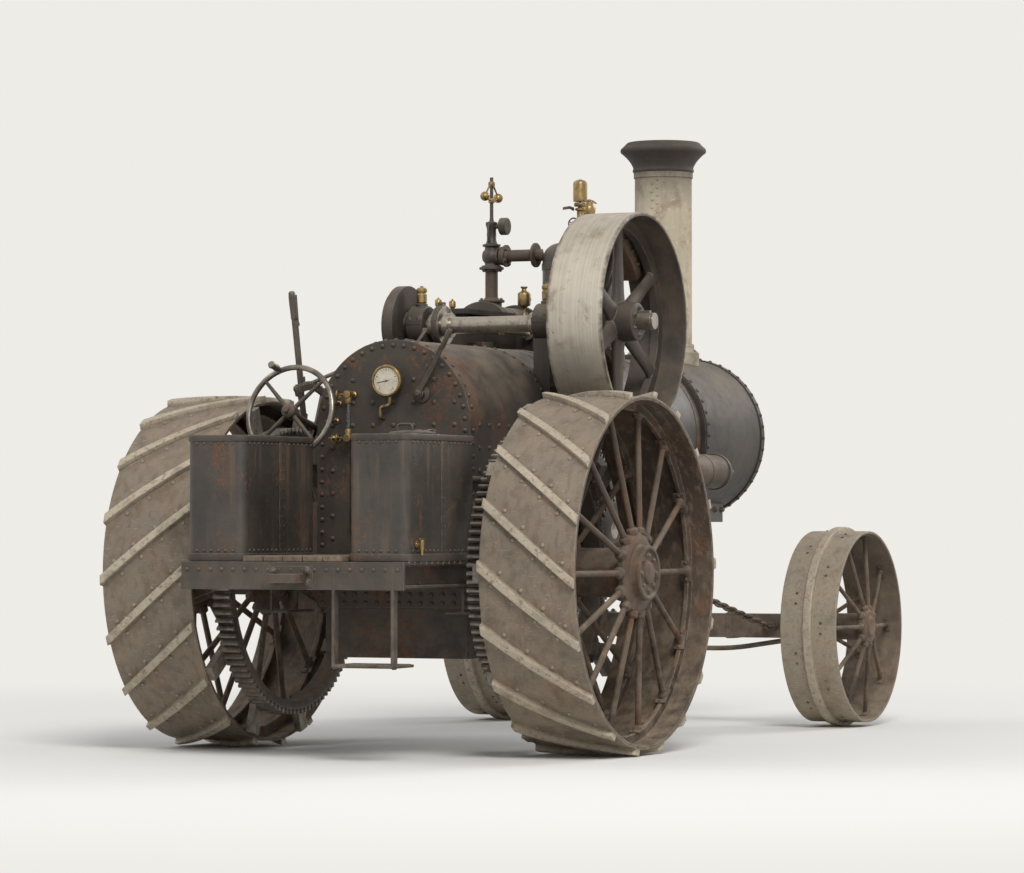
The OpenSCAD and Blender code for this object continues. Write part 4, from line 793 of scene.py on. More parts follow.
for x in hoop_x:
    bolts += [((x + s * 0.01, -0.016, 1.096), right) for s in (-1, 1)]
    places += ring_places((x, 0, boiler_z), forward, 0.3935, 20, start=0.16)
shape = Shape()
for angle in (118, -118):
    a = radians(angle)
    out = Vector((0, sin(a), cos(a)))
    along = Vector((0, cos(a), -sin(a))) * 0.021
    shape.ribbon([Vector((x, 0, boiler_z)) + out * 0.3892 for x in barrel_x], [out, out], along,
        0.0022)
shape.made("lagging_laps", lagging, bevel=0.0006)
heads("lagging_screws", places, 0.0065, 0.003, hoop_iron)
heads("hoop_clamp_bolts", bolts, 0.009, 0.01, hoop_iron, tree=bolt_heads)


# Firebox
# The outer wrapper of boiler plate, flanged and riveted at its corners, with the stay-bolt heads in
# rows on its flat sides and the mud ring's rivets along the bottom.
box_x = (-1.3401, -0.4401)
box_y = 0.392
boiler_plate = (Coat("boiler_plate", (0.03, 0.026, 0.022), (0.07, 0.054, 0.042), 0.56, 0.2)
    .rusted(0.44, 4.2).streaked(0.7).rubbed(0.7, 0.008).dusted(0.44, 0.7).rolled(0.003)
    .done("boiler_plate"))
dress(boiler_plate, "firebox", "ash_pan")
places = []
for x in range(-1240, -500, 104):
    for z in range(770, 1500, 104):
        if z > 1180 or x > -900:
            places += [((x / 1000, s * box_y, z / 1000), (0, s, 0)) for s in (-1, 1)]
for y in range(-312, 320, 104):
    for z in range(770, 1800, 104):
        if hypot(y, max(z - 1500, 0)) < 330 and not (abs(y) < 260 and 1010 < z < 1420):
            places.append(((box_x[0], y / 1000, z / 1000), back))
heads("stay_heads", places, 0.012, 0.006, boiler_plate)
places = []
for i in range(17):
    x = box_x[0] + 0.03 + i * (box_x[1] - box_x[0] - 0.06) / 16
    places += [((x, s * box_y, z), (0, s, 0)) for s in (-1, 1) for z in (0.682, 0.722)]
for i in range(14):
    y = -0.364 + i * 0.056
    places += [((box_x[0], y, z), back) for z in (0.682, 0.722)]
for i in range(13):
    z = 0.775 + i * 0.058
    places += [((x, s * box_y, z), (0, s, 0)) for s in (-1, 1)
        for x in (box_x[0] + 0.03, box_x[1] - 0.03)]
    places += [((box_x[0], s * 0.366, z), back) for s in (-1, 1)]
for x in (box_x[0] + 0.03, box_x[1] - 0.03):
    places += ring_places((x, 0, boiler_z), forward, 0.392, 22, start=-1.5, stop=1.5)
places += ring_places((box_x[0], 0, boiler_z), back, 0.366, 20, outward=False, start=-1.5, stop=1.5)
heads("firebox_rivets", places, 0.0115, 0.008, boiler_plate)
shape = Shape()
for s in (-1, 1):
    for x in (-1.25, -0.53):
        shape.lathe([(45, 0), (45, 10), (30, 18), (0, 18)], (x, s * box_y, 0.8), (0, s, 0), 28)
        shape.hexagon((x, s * (box_y + 0.018), 0.8), (0, s, 0), 0.015, 0.018)
for y in (-0.31, 0.31):
    shape.lathe([(45, 0), (45, 10), (30, 18), (0, 18)], (box_x[0], y, 0.8), back, 28)
    shape.hexagon((box_x[0] - 0.018, y, 0.8), back, 0.015, 0.018)
shape.made("hand_hole_plates", boiler_plate, bevel=0.002)


# Fire door
# A double cast door with an air slide, hung on a pin at the right of the fire hole and held by a
# latch. The middle is warped and rusted by the heat.
coat = Coat("fire_door_iron", (0.055, 0.043, 0.034), (0.105, 0.066, 0.042), 0.78, 0.1, 5.0)
fire_door_iron = coat.rusted(0.62, 9.0).rubbed(0.6).dusted(0.2, 0.8).cast(0.001,
    110).done("boiler_plate")
door_back = box_x[0] - 0.0203
shape = Shape().block((door_back, -0.198, 1.035), (box_x[0] - 0.0003, 0.195, 1.385))
shape.block((door_back - 0.006, -0.15, 1.075), (door_back, 0.15, 1.345))
for z in (1.115, 1.305):
    shape.ribbon([(door_back - 0.0045, -0.212, z), (door_back - 0.0105, -0.15, z),
        (door_back - 0.0105, 0.135, z)], [back] * 3, (0, 0, 0.017), 0.0075)
    shape.bar((box_x[0] - 0.022, -0.22, z - 0.024), (box_x[0] - 0.022, -0.22, z + 0.024), 0.014)
shape.bar((box_x[0] - 0.022, -0.22, 1.08), (box_x[0] - 0.022, -0.22, 1.34), 0.009)
shape.lathe([(75, 0), (75, 6), (68, 10), (0, 10)], (door_back - 0.006, 0, 1.21), back, 40)
for i in range(6):
    a = tau * i / 6
    shape.block((door_back - 0.02, -0.006, 0.022), (door_back - 0.013, 0.006, 0.06),
        Matrix.Translation((0, 0, 1.21)) @ Matrix.Rotation(a, 4, "X"))
shape.hexagon((door_back - 0.016, 0, 1.21), back, 0.013, 0.014)
# the latch handle lies close to the door, so that the door opens flat along the tank's side
shape.pipe([(door_back - 0.002, 0.172, 1.235), (door_back - 0.021, 0.172, 1.235),
    (door_back - 0.021, 0.172, 1.165)], 0.0065, bend=0.008)
shape.made("fire_door_casting", fire_door_iron, "fire_door", 0.003, ("fire_door",))
shape = Shape()
for y in (-0.215, 0.207):
    shape.block((box_x[0] - 0.012, y - 0.0055, 1.02), (box_x[0], y + 0.0055, 1.4))
shape.block((box_x[0] - 0.012, -0.2205, 1.4), (box_x[0], 0.2125, 1.413))
shape.block((box_x[0] - 0.012, -0.2205, 1.007), (box_x[0], 0.2125, 1.02))
shape.made("fire_hole_frame", boiler_plate, bevel=0.002)
shape = Shape()
for s in (-1, 1):
    shape.bar((-0.395, s * 0.338, 0.644), (-0.468, s * 0.345, 0.56), 0.006, steps=10)
    shape.hexagon((-0.395, s * 0.346, 0.645), (0, s, 0), 0.01, 0.008)
for y in (-0.24, 0.0, 0.24):
    shape.ring(0.0085, 0.013, -0.026, 0.026, (-0.4601, y, 0.646), left, 18)
shape.made("damper_stays", boiler_plate, bevel=0.001)
places = [((x / 1000, s * 0.362, z), (0, s, 0)) for x in range(-1290, -480, 66) for s in (-1, 1)
    for z in (0.452, 0.636)]
heads("ash_pan_rivets", places, 0.008, 0.005, boiler_plate)


# Steam dome
# A riveted drum with a dished crown on a flanged saddle, lagged and sheeted like the barrel.
dome_x = 0.7625
dome_top = 2.47
profile = [(0.0, 1.83), (0.225, 1.83), (0.225, 1.898), (0.221, 1.902), (0.196, 1.902), (0.19, 1.91),
    (0.19, 2.372)]
profile += [(0.19 - 0.085 * (1 - cos(a)), 2.372 + 0.085 * sin(a))
    for a in (radians(i * 9) for i in range(1, 10))]
profile += [(0.085, 2.4645), (0.06, 2.468), (0.0, 2.47)]
Shape().turned(profile, (dome_x, 0, 0), steps=96).made("dome_shell", lagging, stands_for=("dome",))
shape = Shape()
for z in (1.932, 2.32):
    shape.ring(0.1895, 0.1935, 0, 0.034, (dome_x, 0, z), steps=80)
shape.made("dome_hoops", hoop_iron, bevel=0.001)
heads("dome_bolts", [((dome_x + 0.2085 * cos(a), 0.2085 * sin(a), 1.905), up)
    for a in (tau * i / 16 for i in range(16))], 0.012, 0.012, boiler_plate, tree=bolt_heads)


# Dome valves
# The steam turret on the crown: a stop cock, the pop safety valve on an elbow at the front, and the
# bell whistle with its lanyard lever above. All brass, gone brown.
coat = Coat("brass", (0.38, 0.262, 0.11), (0.205, 0.138, 0.062), 0.34, 0.92, 9.0)
coat.over(coat.cloud(22, 0.5, 0.66, 8, shift=2.0), (0.105, 0.08, 0.045), 0.62, 0.55)
coat.over(coat.cloud(60, 0.6, 0.72, 5, shift=5.0), (0.13, 0.17, 0.12), 0.8, 0.0)
brass = coat.rubbed(0.7, 0.003, (0.7, 0.52, 0.25), 0.22, 1.0).dusted(0.24, 0.2).done("brass")
turret = Vector((dome_x, 0, dome_top))
shape = Shape().lathe([(50, 0), (50, 10), (24, 16), (20, 24), (20, 52), (30, 58), (33, 72),
    (33, 90), (30, 104), (20, 110), (17, 118), (17, 150), (26, 153), (26, 163), (12, 167),
    (12, 180), (0, 180)], turret, steps=40)
shape.lathe([(0, 0), (28.5, 0), (31.5, 6), (31.5, 16), (28, 20), (14, 21), (0, 21)],
    turret + Vector((0, 0, 0.172)), steps=36)
shape.lathe([(32.5, 0), (35.5, 1), (35.5, 88), (33, 99), (22, 107), (0, 110), (0, 106), (20, 103),
    (31, 94), (32.5, 85)], turret + Vector((0, 0, 0.197)), steps=40)
shape.bar(turret + Vector((0, 0, 0.18)), turret + Vector((0, 0, 0.3)), 0.0055)
shape.hexagon(turret + Vector((0, 0, 0.2965)), up, 0.01, 0.0125)
shape.made("whistle", brass, bevel=0.0008, stands_for=("dome_valves",))
shape = Shape()
shape.pipe([turret + Vector((0.02, 0, 0.081)), turret + Vector((0.11, 0, 0.081)),
    turret + Vector((0.11, 0, 0.13))], 0.015, bend=0.03)
pop = turret + Vector((0.11, 0, 0.095))
shape.lathe([(0, 0), (20, 0), (24, 6), (24, 18), (19, 24), (19, 36), (29, 45), (31, 55), (31, 82),
    (27, 90), (22, 94), (22, 104), (16, 108), (10, 110), (10, 121), (0, 121)], pop, steps=36)
for i in range(10):
    a = tau * i / 10
    shape.block((0.0295, -0.003, 0.058), (0.0325, 0.003, 0.078), Matrix.Translation(pop) @
        Matrix.Rotation(a, 4, "Z"))
shape.ribbon([pop + Vector((-0.012, 0, 0.112)), pop + Vector((0.03, 0, 0.116)),
    pop + Vector((0.085, 0, 0.104))], [up] * 3, (0, 0.006, 0), 0.005)
shape.made("pop_valve", brass, bevel=0.0008)
shape = Shape()
lever = turret + Vector((0, 0, 0.16))
shape.ribbon([lever + Vector((-0.016, 0.026, 0)), lever + Vector((-0.07, 0.026, 0.004)),
    lever + Vector((-0.145, 0.026, -0.006))], [left] * 3, (0, 0, 0.007), 0.005)
shape.hexagon(lever + Vector((-0.016, 0.031, 0)), left, 0.008, 0.008)
shape.bar(turret + Vector((-0.03, -0.001, 0.081)), turret + Vector((-0.075, -0.001, 0.081)), 0.006)
shape.hoop(turret + Vector((-0.082, -0.001, 0.081)), forward, 0.028, 0.004, 28, 8)
for a in (0.4, 1.97, 3.54, 5.11):
    shape.bar(turret + Vector((-0.082, -0.001, 0.081)),
        turret + Vector((-0.082, -0.001 + 0.028 * cos(a), 0.081 + 0.028 * sin(a))), 0.003, steps=8)
shape.made("whistle_lever", hoop_iron, bevel=0.0006, slot="brass")


# Engine cylinder
# One casting with its steam chest on the boiler side, sheeted round the barrel under three brass
# bands, with studded covers at both ends, drain cocks below and a lubricator on the chest.
cyl = Vector((0, 0.48, 2.0))
cyl_x = (0.6395, 1.0395)
cast_black = (Coat("cast_iron_dark", (0.028, 0.024, 0.021), (0.066, 0.052, 0.041), 0.46, 0.2)
    .rusted(0.26, 8.0).streaked(0.6).rubbed(0.8, 0.006).dusted(0.34, 0.3).cast(0.0008)
    .done("cast_iron_dark"))
shape = Shape()
shape.lathe([(0, 0), (164, 0), (168, 3), (168, 26), (164, 30), (150, 30), (147, 34), (147, 366),
    (150, 370), (164, 370), (168, 374), (168, 397), (164, 400), (120, 400), (118, 404), (118, 415),
    (112, 421), (60, 421.5), (52, 416), (0, 414.5)], (cyl_x[0], cyl.y, cyl.z), forward, 96)
shape.block((cyl_x[0] + 0.05, 0.232, 1.915), (cyl_x[1] - 0.05, 0.402, 2.095))
shape.block((cyl_x[0] + 0.042, 0.221, 1.907), (cyl_x[1] - 0.042, 0.236, 2.103))
shape.made("cylinder_casting", cast_black, bevel=0.003, stands_for=("engine_cylinder",))
places = ring_places((cyl_x[1] + 0.001, cyl.y, cyl.z), forward, 0.145, 12, outward=False,
    start=0.13)
for x in (0.7, 0.785, 0.895, 0.98):
    places += [((x, 0.221, z), right) for z in (1.925, 2.085)]
places += [((x, 0.221, 2.005), right) for x in (0.697, 0.983)]
heads("cylinder_nuts", places, 0.0115, 0.01, cast_black, tree=bolt_heads)
shape = Shape()
for x in (cyl_x[0] + 0.052, cyl_x[0] + 0.19, cyl_x[1] - 0.072):
    shape.ring(0.1465, 0.1495, 0, 0.02, (x, cyl.y, cyl.z), forward, 72)
for x in (cyl_x[0] + 0.018, cyl_x[1] - 0.018):
    at = Vector((x, cyl.y, cyl.z - 0.165))
    shape.lathe([(12, 0), (12, 12), (8, 16), (8, 34), (13, 38), (13, 52), (7, 56), (7, 75),
        (0, 75)], at, down, 20)
    shape.bar(at + Vector((0, 0.01, -0.045)), at + Vector((0, 0.04, -0.045)), 0.004)
    shape.bar(at + Vector((-0.014, 0.037, -0.045)), at + Vector((0.014, 0.037, -0.045)), 0.004)
oiler = Vector((0.76, 0.31, 2.094))
shape.lathe([(0, 0), (12, 0), (10, 10), (7, 16), (7, 40), (18, 50), (31, 56), (33, 62), (33, 112),
    (30, 120), (16, 128), (12, 134), (12, 142), (18, 146), (18, 152), (0, 154)], oiler, steps=36)
shape.bar(oiler + Vector((0.032, 0, 0.09)), oiler + Vector((0.055, 0, 0.09)), 0.004)
shape.hoop(oiler + Vector((0.056, 0, 0.09)), forward, 0.012, 0.0025, 20, 6)
shape.made("cylinder_brasses", brass, bevel=0.0008)


# Engine frame
# The bored casting that ties the crankshaft bearing to the cylinder, with flat slide bars and
# saddles bolted to the boiler. The bearing has a cap on four studs and a brass oil cup.
crank = Vector((-0.3675, 0, 2.0))
dress(cast_black, "engine_frame")
shape = Shape()
for s, low, high in ((1, 0.29, 0.375), (-1, -0.375, -0.29)):
    mid = (low + high) / 2
    shape.lathe([(88.5, -42), (96, -40), (96, 40), (88.5, 42)], (crank.x, mid, 2.0), left, 56,
        hollow=True)
    shape.lathe([(30, 0), (30, 16), (22, 20), (0, 20)], (crank.x, mid, 2.09), steps=24)
shape.made("bearing_caps", cast_black, bevel=0.003)
places = [((crank.x + dx, s * (0.3325 + dy), 2.028), up) for s in (-1, 1) for dx in (-0.082, 0.082)
    for dy in (-0.024, 0.024)]
places += [((x, 0.342, z), left) for x in (-0.15, 0.02, 0.13) for z in (1.925, 2.035)]
places += [((x, 0.342, z), left) for x in (0.125, 0.185) for z in (1.8, 1.86)]
heads("frame_bolts", places, 0.0125, 0.012, cast_black, tree=bolt_heads)


def oil_cup(shape, at, size=1.0):
    """A turned brass cup with a hinged cover, as stands on every bearing."""
    shape.turned([(r * size, z * size) for r, z in ((0, 0), (0.01, 0), (0.008, 0.008),
        (0.007, 0.018), (0.016, 0.026), (0.021, 0.032), (0.021, 0.062), (0.018, 0.068),
        (0.006, 0.073), (0.006, 0.08), (0, 0.082))], at, steps=24)


shape = Shape()
for s in (-1, 1):
    shape.lathe([(0, 0), (28, 0), (28, 6), (20.5, 10), (20.5, 18), (24.5, 22), (25, 60), (20.5, 66),
        (20.5, 70), (26, 73), (26, 86), (20, 92), (8, 95), (8, 101), (0, 102)],
        (crank.x, s * 0.3325, 2.092), steps=32)
for x in (0.2, 0.36):
    oil_cup(shape, (x, 0.52, 2.104), 0.8)
shape.made("bearing_oil_cups", brass)


# Crosshead and rods
# Bright forgings: the crosshead between its bars, the piston rod into the gland, the tapered round
# connecting rod with a strapped end, and the valve rod from the eccentric. Oiled, browned in places.
coat = Coat("bright_steel", (0.42, 0.385, 0.335), (0.3, 0.262, 0.215), 0.28, 0.9, 6.0)
coat.over(coat.cloud(15, 0.52, 0.68, 8, shift=2.0), (0.085, 0.062, 0.042), 0.55, 0.4)
bright = (coat.streaked(0.45, (0.05, 0.035, 0.022), 0.3, 30.0).rusted(0.16, 18.0, 0.0003)
          .rubbed(0.5, 0.003, (0.62, 0.58, 0.52), 0.22, 1.0).dusted(0.28, 0.3).done("bright_steel"))
cross_x = 0.4195
shape = Shape().block((cross_x - 0.088, 0.424, 1.928), (cross_x + 0.088, 0.536, 1.944))
shape.block((cross_x - 0.088, 0.424, 2.056), (cross_x + 0.088, 0.536, 2.072))
shape.block((cross_x - 0.062, 0.436, 1.944), (cross_x + 0.06, 0.524, 2.056))
shape.lathe([(45, -8), (45, 0), (28, 10), (0, 10)], (cross_x, 0.526, 2.0), left, 30)
shape.lathe([(36, 0), (36, 30), (26, 40), (20, 42)], (cross_x + 0.058, 0.48, 2.0), forward, 30)
shape.bar((cross_x + 0.09, 0.48, 2.0), (cyl_x[0] - 0.001, 0.48, 2.0), 0.02, steps=28)
rod = [(0.03, -0.01), (0.03, 0.0), (0.0185, 0.024), (0.019, 0.08), (0.0228, 0.24), (0.0228, 0.3),
    (0.019, 0.455), (0.0185, 0.478), (0.03, 0.5), (0.03, 0.512)]
start_x = crank.x + 0.127 + 0.06
reach = cross_x - 0.062 - start_x
shape.turned([(r, z / 0.512 * reach) for r, z in rod], (start_x, 0.48, 2.0), forward, 28)
shape.block((start_x, 0.458, 1.969), (start_x + 0.052, 0.502, 2.031))
for z in (1.951, 2.031):
    shape.block((cross_x - 0.155, 0.462, z), (cross_x - 0.06, 0.498, z + 0.018))
shape.block((cross_x - 0.125, 0.47, 1.94), (cross_x - 0.109, 0.49, 2.06))
shape.made("crosshead_forging", bright, bevel=0.0025, stands_for=("crosshead_rod",))
shape = Shape()
valve_y = 0.238
rod_start = crank.x + 0.132
shape.block((rod_start, valve_y - 0.014, 1.974), (rod_start + 0.055, valve_y + 0.014, 2.026))
shape.bar((rod_start + 0.05, valve_y, 2.0), (0.3, valve_y, 2.0), 0.0135, steps=20)
shape.block((0.285, valve_y - 0.013, 1.982), (0.345, valve_y + 0.013, 2.018))
shape.bar((0.34, valve_y, 2.0), (0.69, valve_y, 2.0), 0.011, steps=20)
shape.lathe([(0, 0), (30, 0), (30, 12), (20, 18), (20, 45), (0, 45)], (0.646, valve_y, 2.0),
    forward, 24)
shape.made("valve_rod", bright, bevel=0.002)
shape = Shape()
shape.lathe([(21, 0), (50, 0), (50, 14), (36, 20), (36, 30), (21, 30)],
    (cyl_x[0] - 0.03, 0.48, 2.0), forward, 30, hollow=True)
shape.made("piston_gland", brass, bevel=0.001)


# Governor
# A throttling governor on the steam pipe: a globe-shaped valve body, a column with its belt pulley
# and the spindle on which two brass balls fly out.
gov = Vector((0.7025, 0.465, 2.4))
shape = Shape()
shape.lathe([(0, -60), (50, -60), (50, -48), (34, -44), (34, -36), (46, -20), (49, 0), (46, 20),
    (34, 36), (34, 46), (46, 50), (46, 60), (30, 64), (24, 80), (22, 110), (24, 140), (30, 160),
    (30, 172), (12, 178), (10, 190), (9.2, 200), (8.8, 400), (0, 400)], gov, steps=44)
shape.lathe([(30, 0), (30, 30), (46, 36), (46, 48), (0, 48)], gov, right, 32)
shape.made("governor_body", cast_black, stands_for=("governor",))
shape = Shape()
shape.bar(gov + Vector((0, -0.012, 0.15)), gov + Vector((0, -0.09, 0.15)), 0.011)
shape.lathe([(12, 0), (40, 0), (44, 3), (44, 36), (40, 39), (12, 39)],
    gov + Vector((0, -0.052, 0.15)), right, 36, hollow=True)
for s in (-1, 1):
    shape.pipe([gov + Vector((s * 0.02, 0, 0.06)), gov + Vector((s * 0.045, 0, 0.095)),
        gov + Vector((s * 0.036, 0, 0.16)), gov + Vector((s * 0.01, 0, 0.176))], 0.006, 10, 0.03)
shape.made("governor_pulley", hoop_iron, bevel=0.001, slot="cast_iron_dark")
ball = Vector((gov.x, gov.y, 2.7))
shape = Shape()
shape.lathe([(9.2, 52), (14, 52), (17, 58), (17, 74), (12, 80), (9.2, 80)], ball, steps=24,
    hollow=True)
shape.lathe([(9.2, -30), (14, -30), (17, -24), (17, -10), (12, -4), (9.2, -4)], ball, steps=24,
    hollow=True)
for s in (-1, 1):
    ground = ball + Vector((s * 0.078, 0, 0))
    shape.turned([(0.024 * cos(a), 0.024 * sin(a)) for a in (radians(i * 12 - 90)
        for i in range(16))], ground, steps=28)
    shape.bar(ball + Vector((s * 0.014, 0, 0.066)), ground + Vector((-s * 0.012, 0, 0.016)), 0.0052,
        0.004, 12)
    shape.bar(ball + Vector((s * 0.014, 0, -0.017)), ground + Vector((-s * 0.018, 0, -0.008)),
        0.004, 0.0036, 12)
shape.made("governor_flyballs", brass, "governor_balls", 0.0, ("governor_balls",))


# Steam and exhaust pipes
# Wrought pipe: live steam from the dome through the governor to the chest, and the exhaust forward
# along the barrel into the smokebox. Flanges are drawn up with four bolts each.
pipe_iron = (Coat("pipe_iron", (0.06, 0.047, 0.037), (0.105, 0.078, 0.056), 0.6, 0.3, 5.0)
    .rusted(0.42, 9.0).streaked(0.4).rubbed(0.6, 0.004).dusted(0.38, 0.3).rolled(0.0006, 24)
    .done("pipe_iron"))
dress(pipe_iron, "steam_pipe", "exhaust_pipe")
shape = Shape()
places = []


def flange(at, axis, pipe_r, flange_r, bolts=4, thick=0.012):
    """A cast flange round a pipe, with its bolts noted for later."""
    shape.turned([(pipe_r, 0), (flange_r - 0.002, 0), (flange_r, 0.002), (flange_r, thick),
        (pipe_r + 0.007, thick + 0.002), (pipe_r + 0.003, thick + 0.012), (pipe_r, thick + 0.012)],
        at, axis, 40, hollow=True)
    axis = Vector(axis)
    for point, _ in ring_places(Vector(at) + axis * thick, axis, flange_r * 0.5 + pipe_r * 0.5 +
            0.001, bolts, start=0.7):
        places.append((point, axis))


flange((gov.x, 0.212, gov.z), left, 0.0305, 0.062)
flange((gov.x, 0.389, gov.z), right, 0.0305, 0.056)
flange((gov.x, gov.y, 2.345), down, 0.0325, 0.062)
flange((gov.x, gov.y, 2.166), up, 0.0325, 0.066)
flange((1.005, 0.27, 1.96), forward, 0.0365, 0.07)
flange((1.48, 0.27, 1.96), back, 0.0365, 0.062)
shape.made("pipe_flanges", pipe_iron)
heads("flange_bolts", places, 0.0085, 0.008, pipe_iron, tree=bolt_heads)


# Feed water heater A long riveted drum hung at the barrel's right side.
dress(pipe_iron, "water_heater")
heat = Vector((0, -0.505, 1.31))
check_x = 0.3305
shape = Shape()
for x, way in ((0.1805, -1), (1.3245, 1)):
    shape.lathe([(88, -1), (88, 3), (60, 9), (0, 12)], (x, heat.y, heat.z), (way, 0, 0), 56)
for x in (0.38, 1.126):
    shape.ring(0.0845, 0.0875, -0.032, 0.032, (x, heat.y, heat.z), forward, 56)
for at, way in (((check_x, heat.y, heat.z + 0.084), up), ((check_x, heat.y, 1.462), up),
        ((1.34, heat.y, heat.z), forward), ((1.5025, -0.43, heat.z), left)):
    shape.lathe([(16.5, 0), (28, 0), (30, 4), (30, 14), (24, 20), (16.5, 20)], at, way, 6,
        hollow=True)
shape.made("heater_pipes", pipe_iron, bevel=0.001)
places = ring_places((0.1765, heat.y, heat.z), back, 0.072, 10, outward=False)
places += ring_places((1.3285, heat.y, heat.z), forward, 0.072, 10, outward=False)
heads("heater_bolts", places, 0.0085, 0.008, pipe_iron, tree=bolt_heads)
shape = Shape()
shape.lathe([(17.5, -402), (40, -402), (40, -412), (26, -418), (24, -474), (33, -482), (34, -500),
    (34, -520), (31, -537), (20, -541), (18, -556), (12, -560), (0, -560)], (check_x, 0, boiler_z),
    left, 36)
shape.bar((check_x, -0.555, 1.5), (check_x, -0.588, 1.5), 0.006)
shape.hoop((check_x, -0.584, 1.5), left, 0.03, 0.0045, 28, 8)
for a in (0.5, 1.55, 2.6):
    across = Vector((cos(a), 0, sin(a))) * 0.029
    shape.bar(Vector((check_x, -0.584, 1.5)) - across, Vector((check_x, -0.584, 1.5)) + across,
        0.003, steps=8)
shape.made("check_valve", brass, bevel=0.001)


# Feed pipes and injector
# The tank's outlet rises beside the firebox through a brass injector, turns forward along
# its side and ends in the heater. Union nuts join the lengths, and two strap clips hold them.
feed_x, feed_y, tank_out_y, feed_z = -1.4501, -0.414, -0.403, 1.25
shape = Shape().pipe([(-1.6075, tank_out_y, 0.95), (feed_x, tank_out_y, 0.95),
    (feed_x, tank_out_y, feed_z), (feed_x + 0.028, feed_y, feed_z), (0.1025, feed_y, feed_z),
    (0.1025, heat.y, feed_z), (0.1805, heat.y, feed_z)], 0.0135, 18, 0.03)
shape.lathe([(13.5, 0), (27.5, 0), (27.5, 12), (18.5, 15), (13.5, 15)], (-1.6075, tank_out_y, 0.95),
    forward, 32, hollow=True)
for x in (-1.128, -0.578):
    shape.hoop((x, feed_y, feed_z), forward, 0.0175, 0.004, 24, 8)
    shape.block((x - 0.013, feed_y - 0.021, feed_z - 0.0215), (x + 0.013, -0.392, feed_z + 0.0215))
shape.made("feed_pipe_run", pipe_iron, bevel=0.0008, stands_for=("feed_pipes",))
shape = Shape()
for at, way in (((-1.575, tank_out_y, 0.95), forward), ((-1.2, feed_y, feed_z), forward),
        ((-0.3, feed_y, feed_z), forward), ((0.142, heat.y, feed_z), forward)):
    shape.lathe([(13.5, -20), (21, -20), (24, -16), (24, 6), (19.5, 10), (19.5, 22), (13.5, 22)],
        at, way, 6, hollow=True)
shape.lathe([(13.5, 1012), (27, 1014), (30.5, 1020), (30.5, 1058), (24, 1064), (22.5, 1080),
    (26, 1088), (26, 1110), (22.5, 1118), (22.5, 1134), (30.5, 1140), (30.5, 1178), (27, 1184),
    (13.5, 1186)], (feed_x, tank_out_y, 0), up, 32, hollow=True)
for z in (1.04, 1.16):
    shape.lathe([(0, 26), (13, 26), (13, 40), (9, 44), (6, 64), (0, 64)], (feed_x, tank_out_y, z),
        back, 20)
    shape.hoop((feed_x - 0.06, tank_out_y, z), forward, 0.024, 0.0035, 24, 8)
    for a in (0.3, 1.35, 2.4):
        across = Vector((0, cos(a), sin(a))) * 0.023
        shape.bar(Vector((feed_x - 0.06, tank_out_y, z)) - across,
            Vector((feed_x - 0.06, tank_out_y, z)) + across, 0.0026, steps=8)
shape.pipe([(feed_x, tank_out_y - 0.018, 1.098), (feed_x, tank_out_y - 0.052, 1.098),
    (feed_x, tank_out_y - 0.052, 0.985)], 0.0085, bend=0.018)
shape.made("feed_injector", brass, bevel=0.0008)


# Crankshaft
# A turned shaft from the crank disc across the boiler to the belt wheel, with the eccentric for the
# valve gear beside the left bearing. The disc has a boss round the shaft and one round its pin.
dress(bright, "crankshaft")
dress(cast_black, "crank_disc")
disc_face = 0.446
shape = Shape()
shape.lathe([(62, 0), (62, 10), (54, 16), (0, 16)], (crank.x, disc_face - 0.001, crank.z), left, 36)
shape.lathe([(58, -4), (58, 6), (46, 8)], (crank.x + 0.127, disc_face, crank.z), left, 32)
shape.made("crank_bosses", cast_black, "crankshaft", 0.003)
shape = Shape()
pin_x = crank.x + 0.127
shape.lathe([(30, 20), (40, 21), (42, 26), (42, 34), (36, 40), (0, 41)], (pin_x, 0.485, crank.z),
    left, 30)
for s in (-1, 1):
    shape.block((pin_x - 0.05, 0.46, crank.z + s * 0.05 - 0.011),
        (pin_x + 0.052, 0.5, crank.z + s * 0.05 + 0.011))
shape.block((pin_x - 0.064, 0.46, crank.z - 0.058), (pin_x - 0.046, 0.5, crank.z + 0.058))
oil_cup(shape, (pin_x, 0.48, crank.z + 0.058), 0.7)
shape.made("crank_pin_strap", bright, "crankshaft", 0.002)
shape = Shape()
ecc_x = crank.x + 0.032
shape.ring(0.094, 0.101, -0.013, 0.013, (ecc_x, 0.238, crank.z), left, 56)
for s in (-1, 1):
    shape.block((ecc_x - 0.02, 0.228, crank.z + s * 0.105 - 0.01),
        (ecc_x + 0.02, 0.248, crank.z + s * 0.105 + 0.01))
    for x in (-0.027, 0.019):
        shape.hexagon((ecc_x + x, 0.238, crank.z + s * 0.106), forward, 0.008, 0.008)
shape.made("eccentric_strap", cast_black, "crankshaft", 0.002)


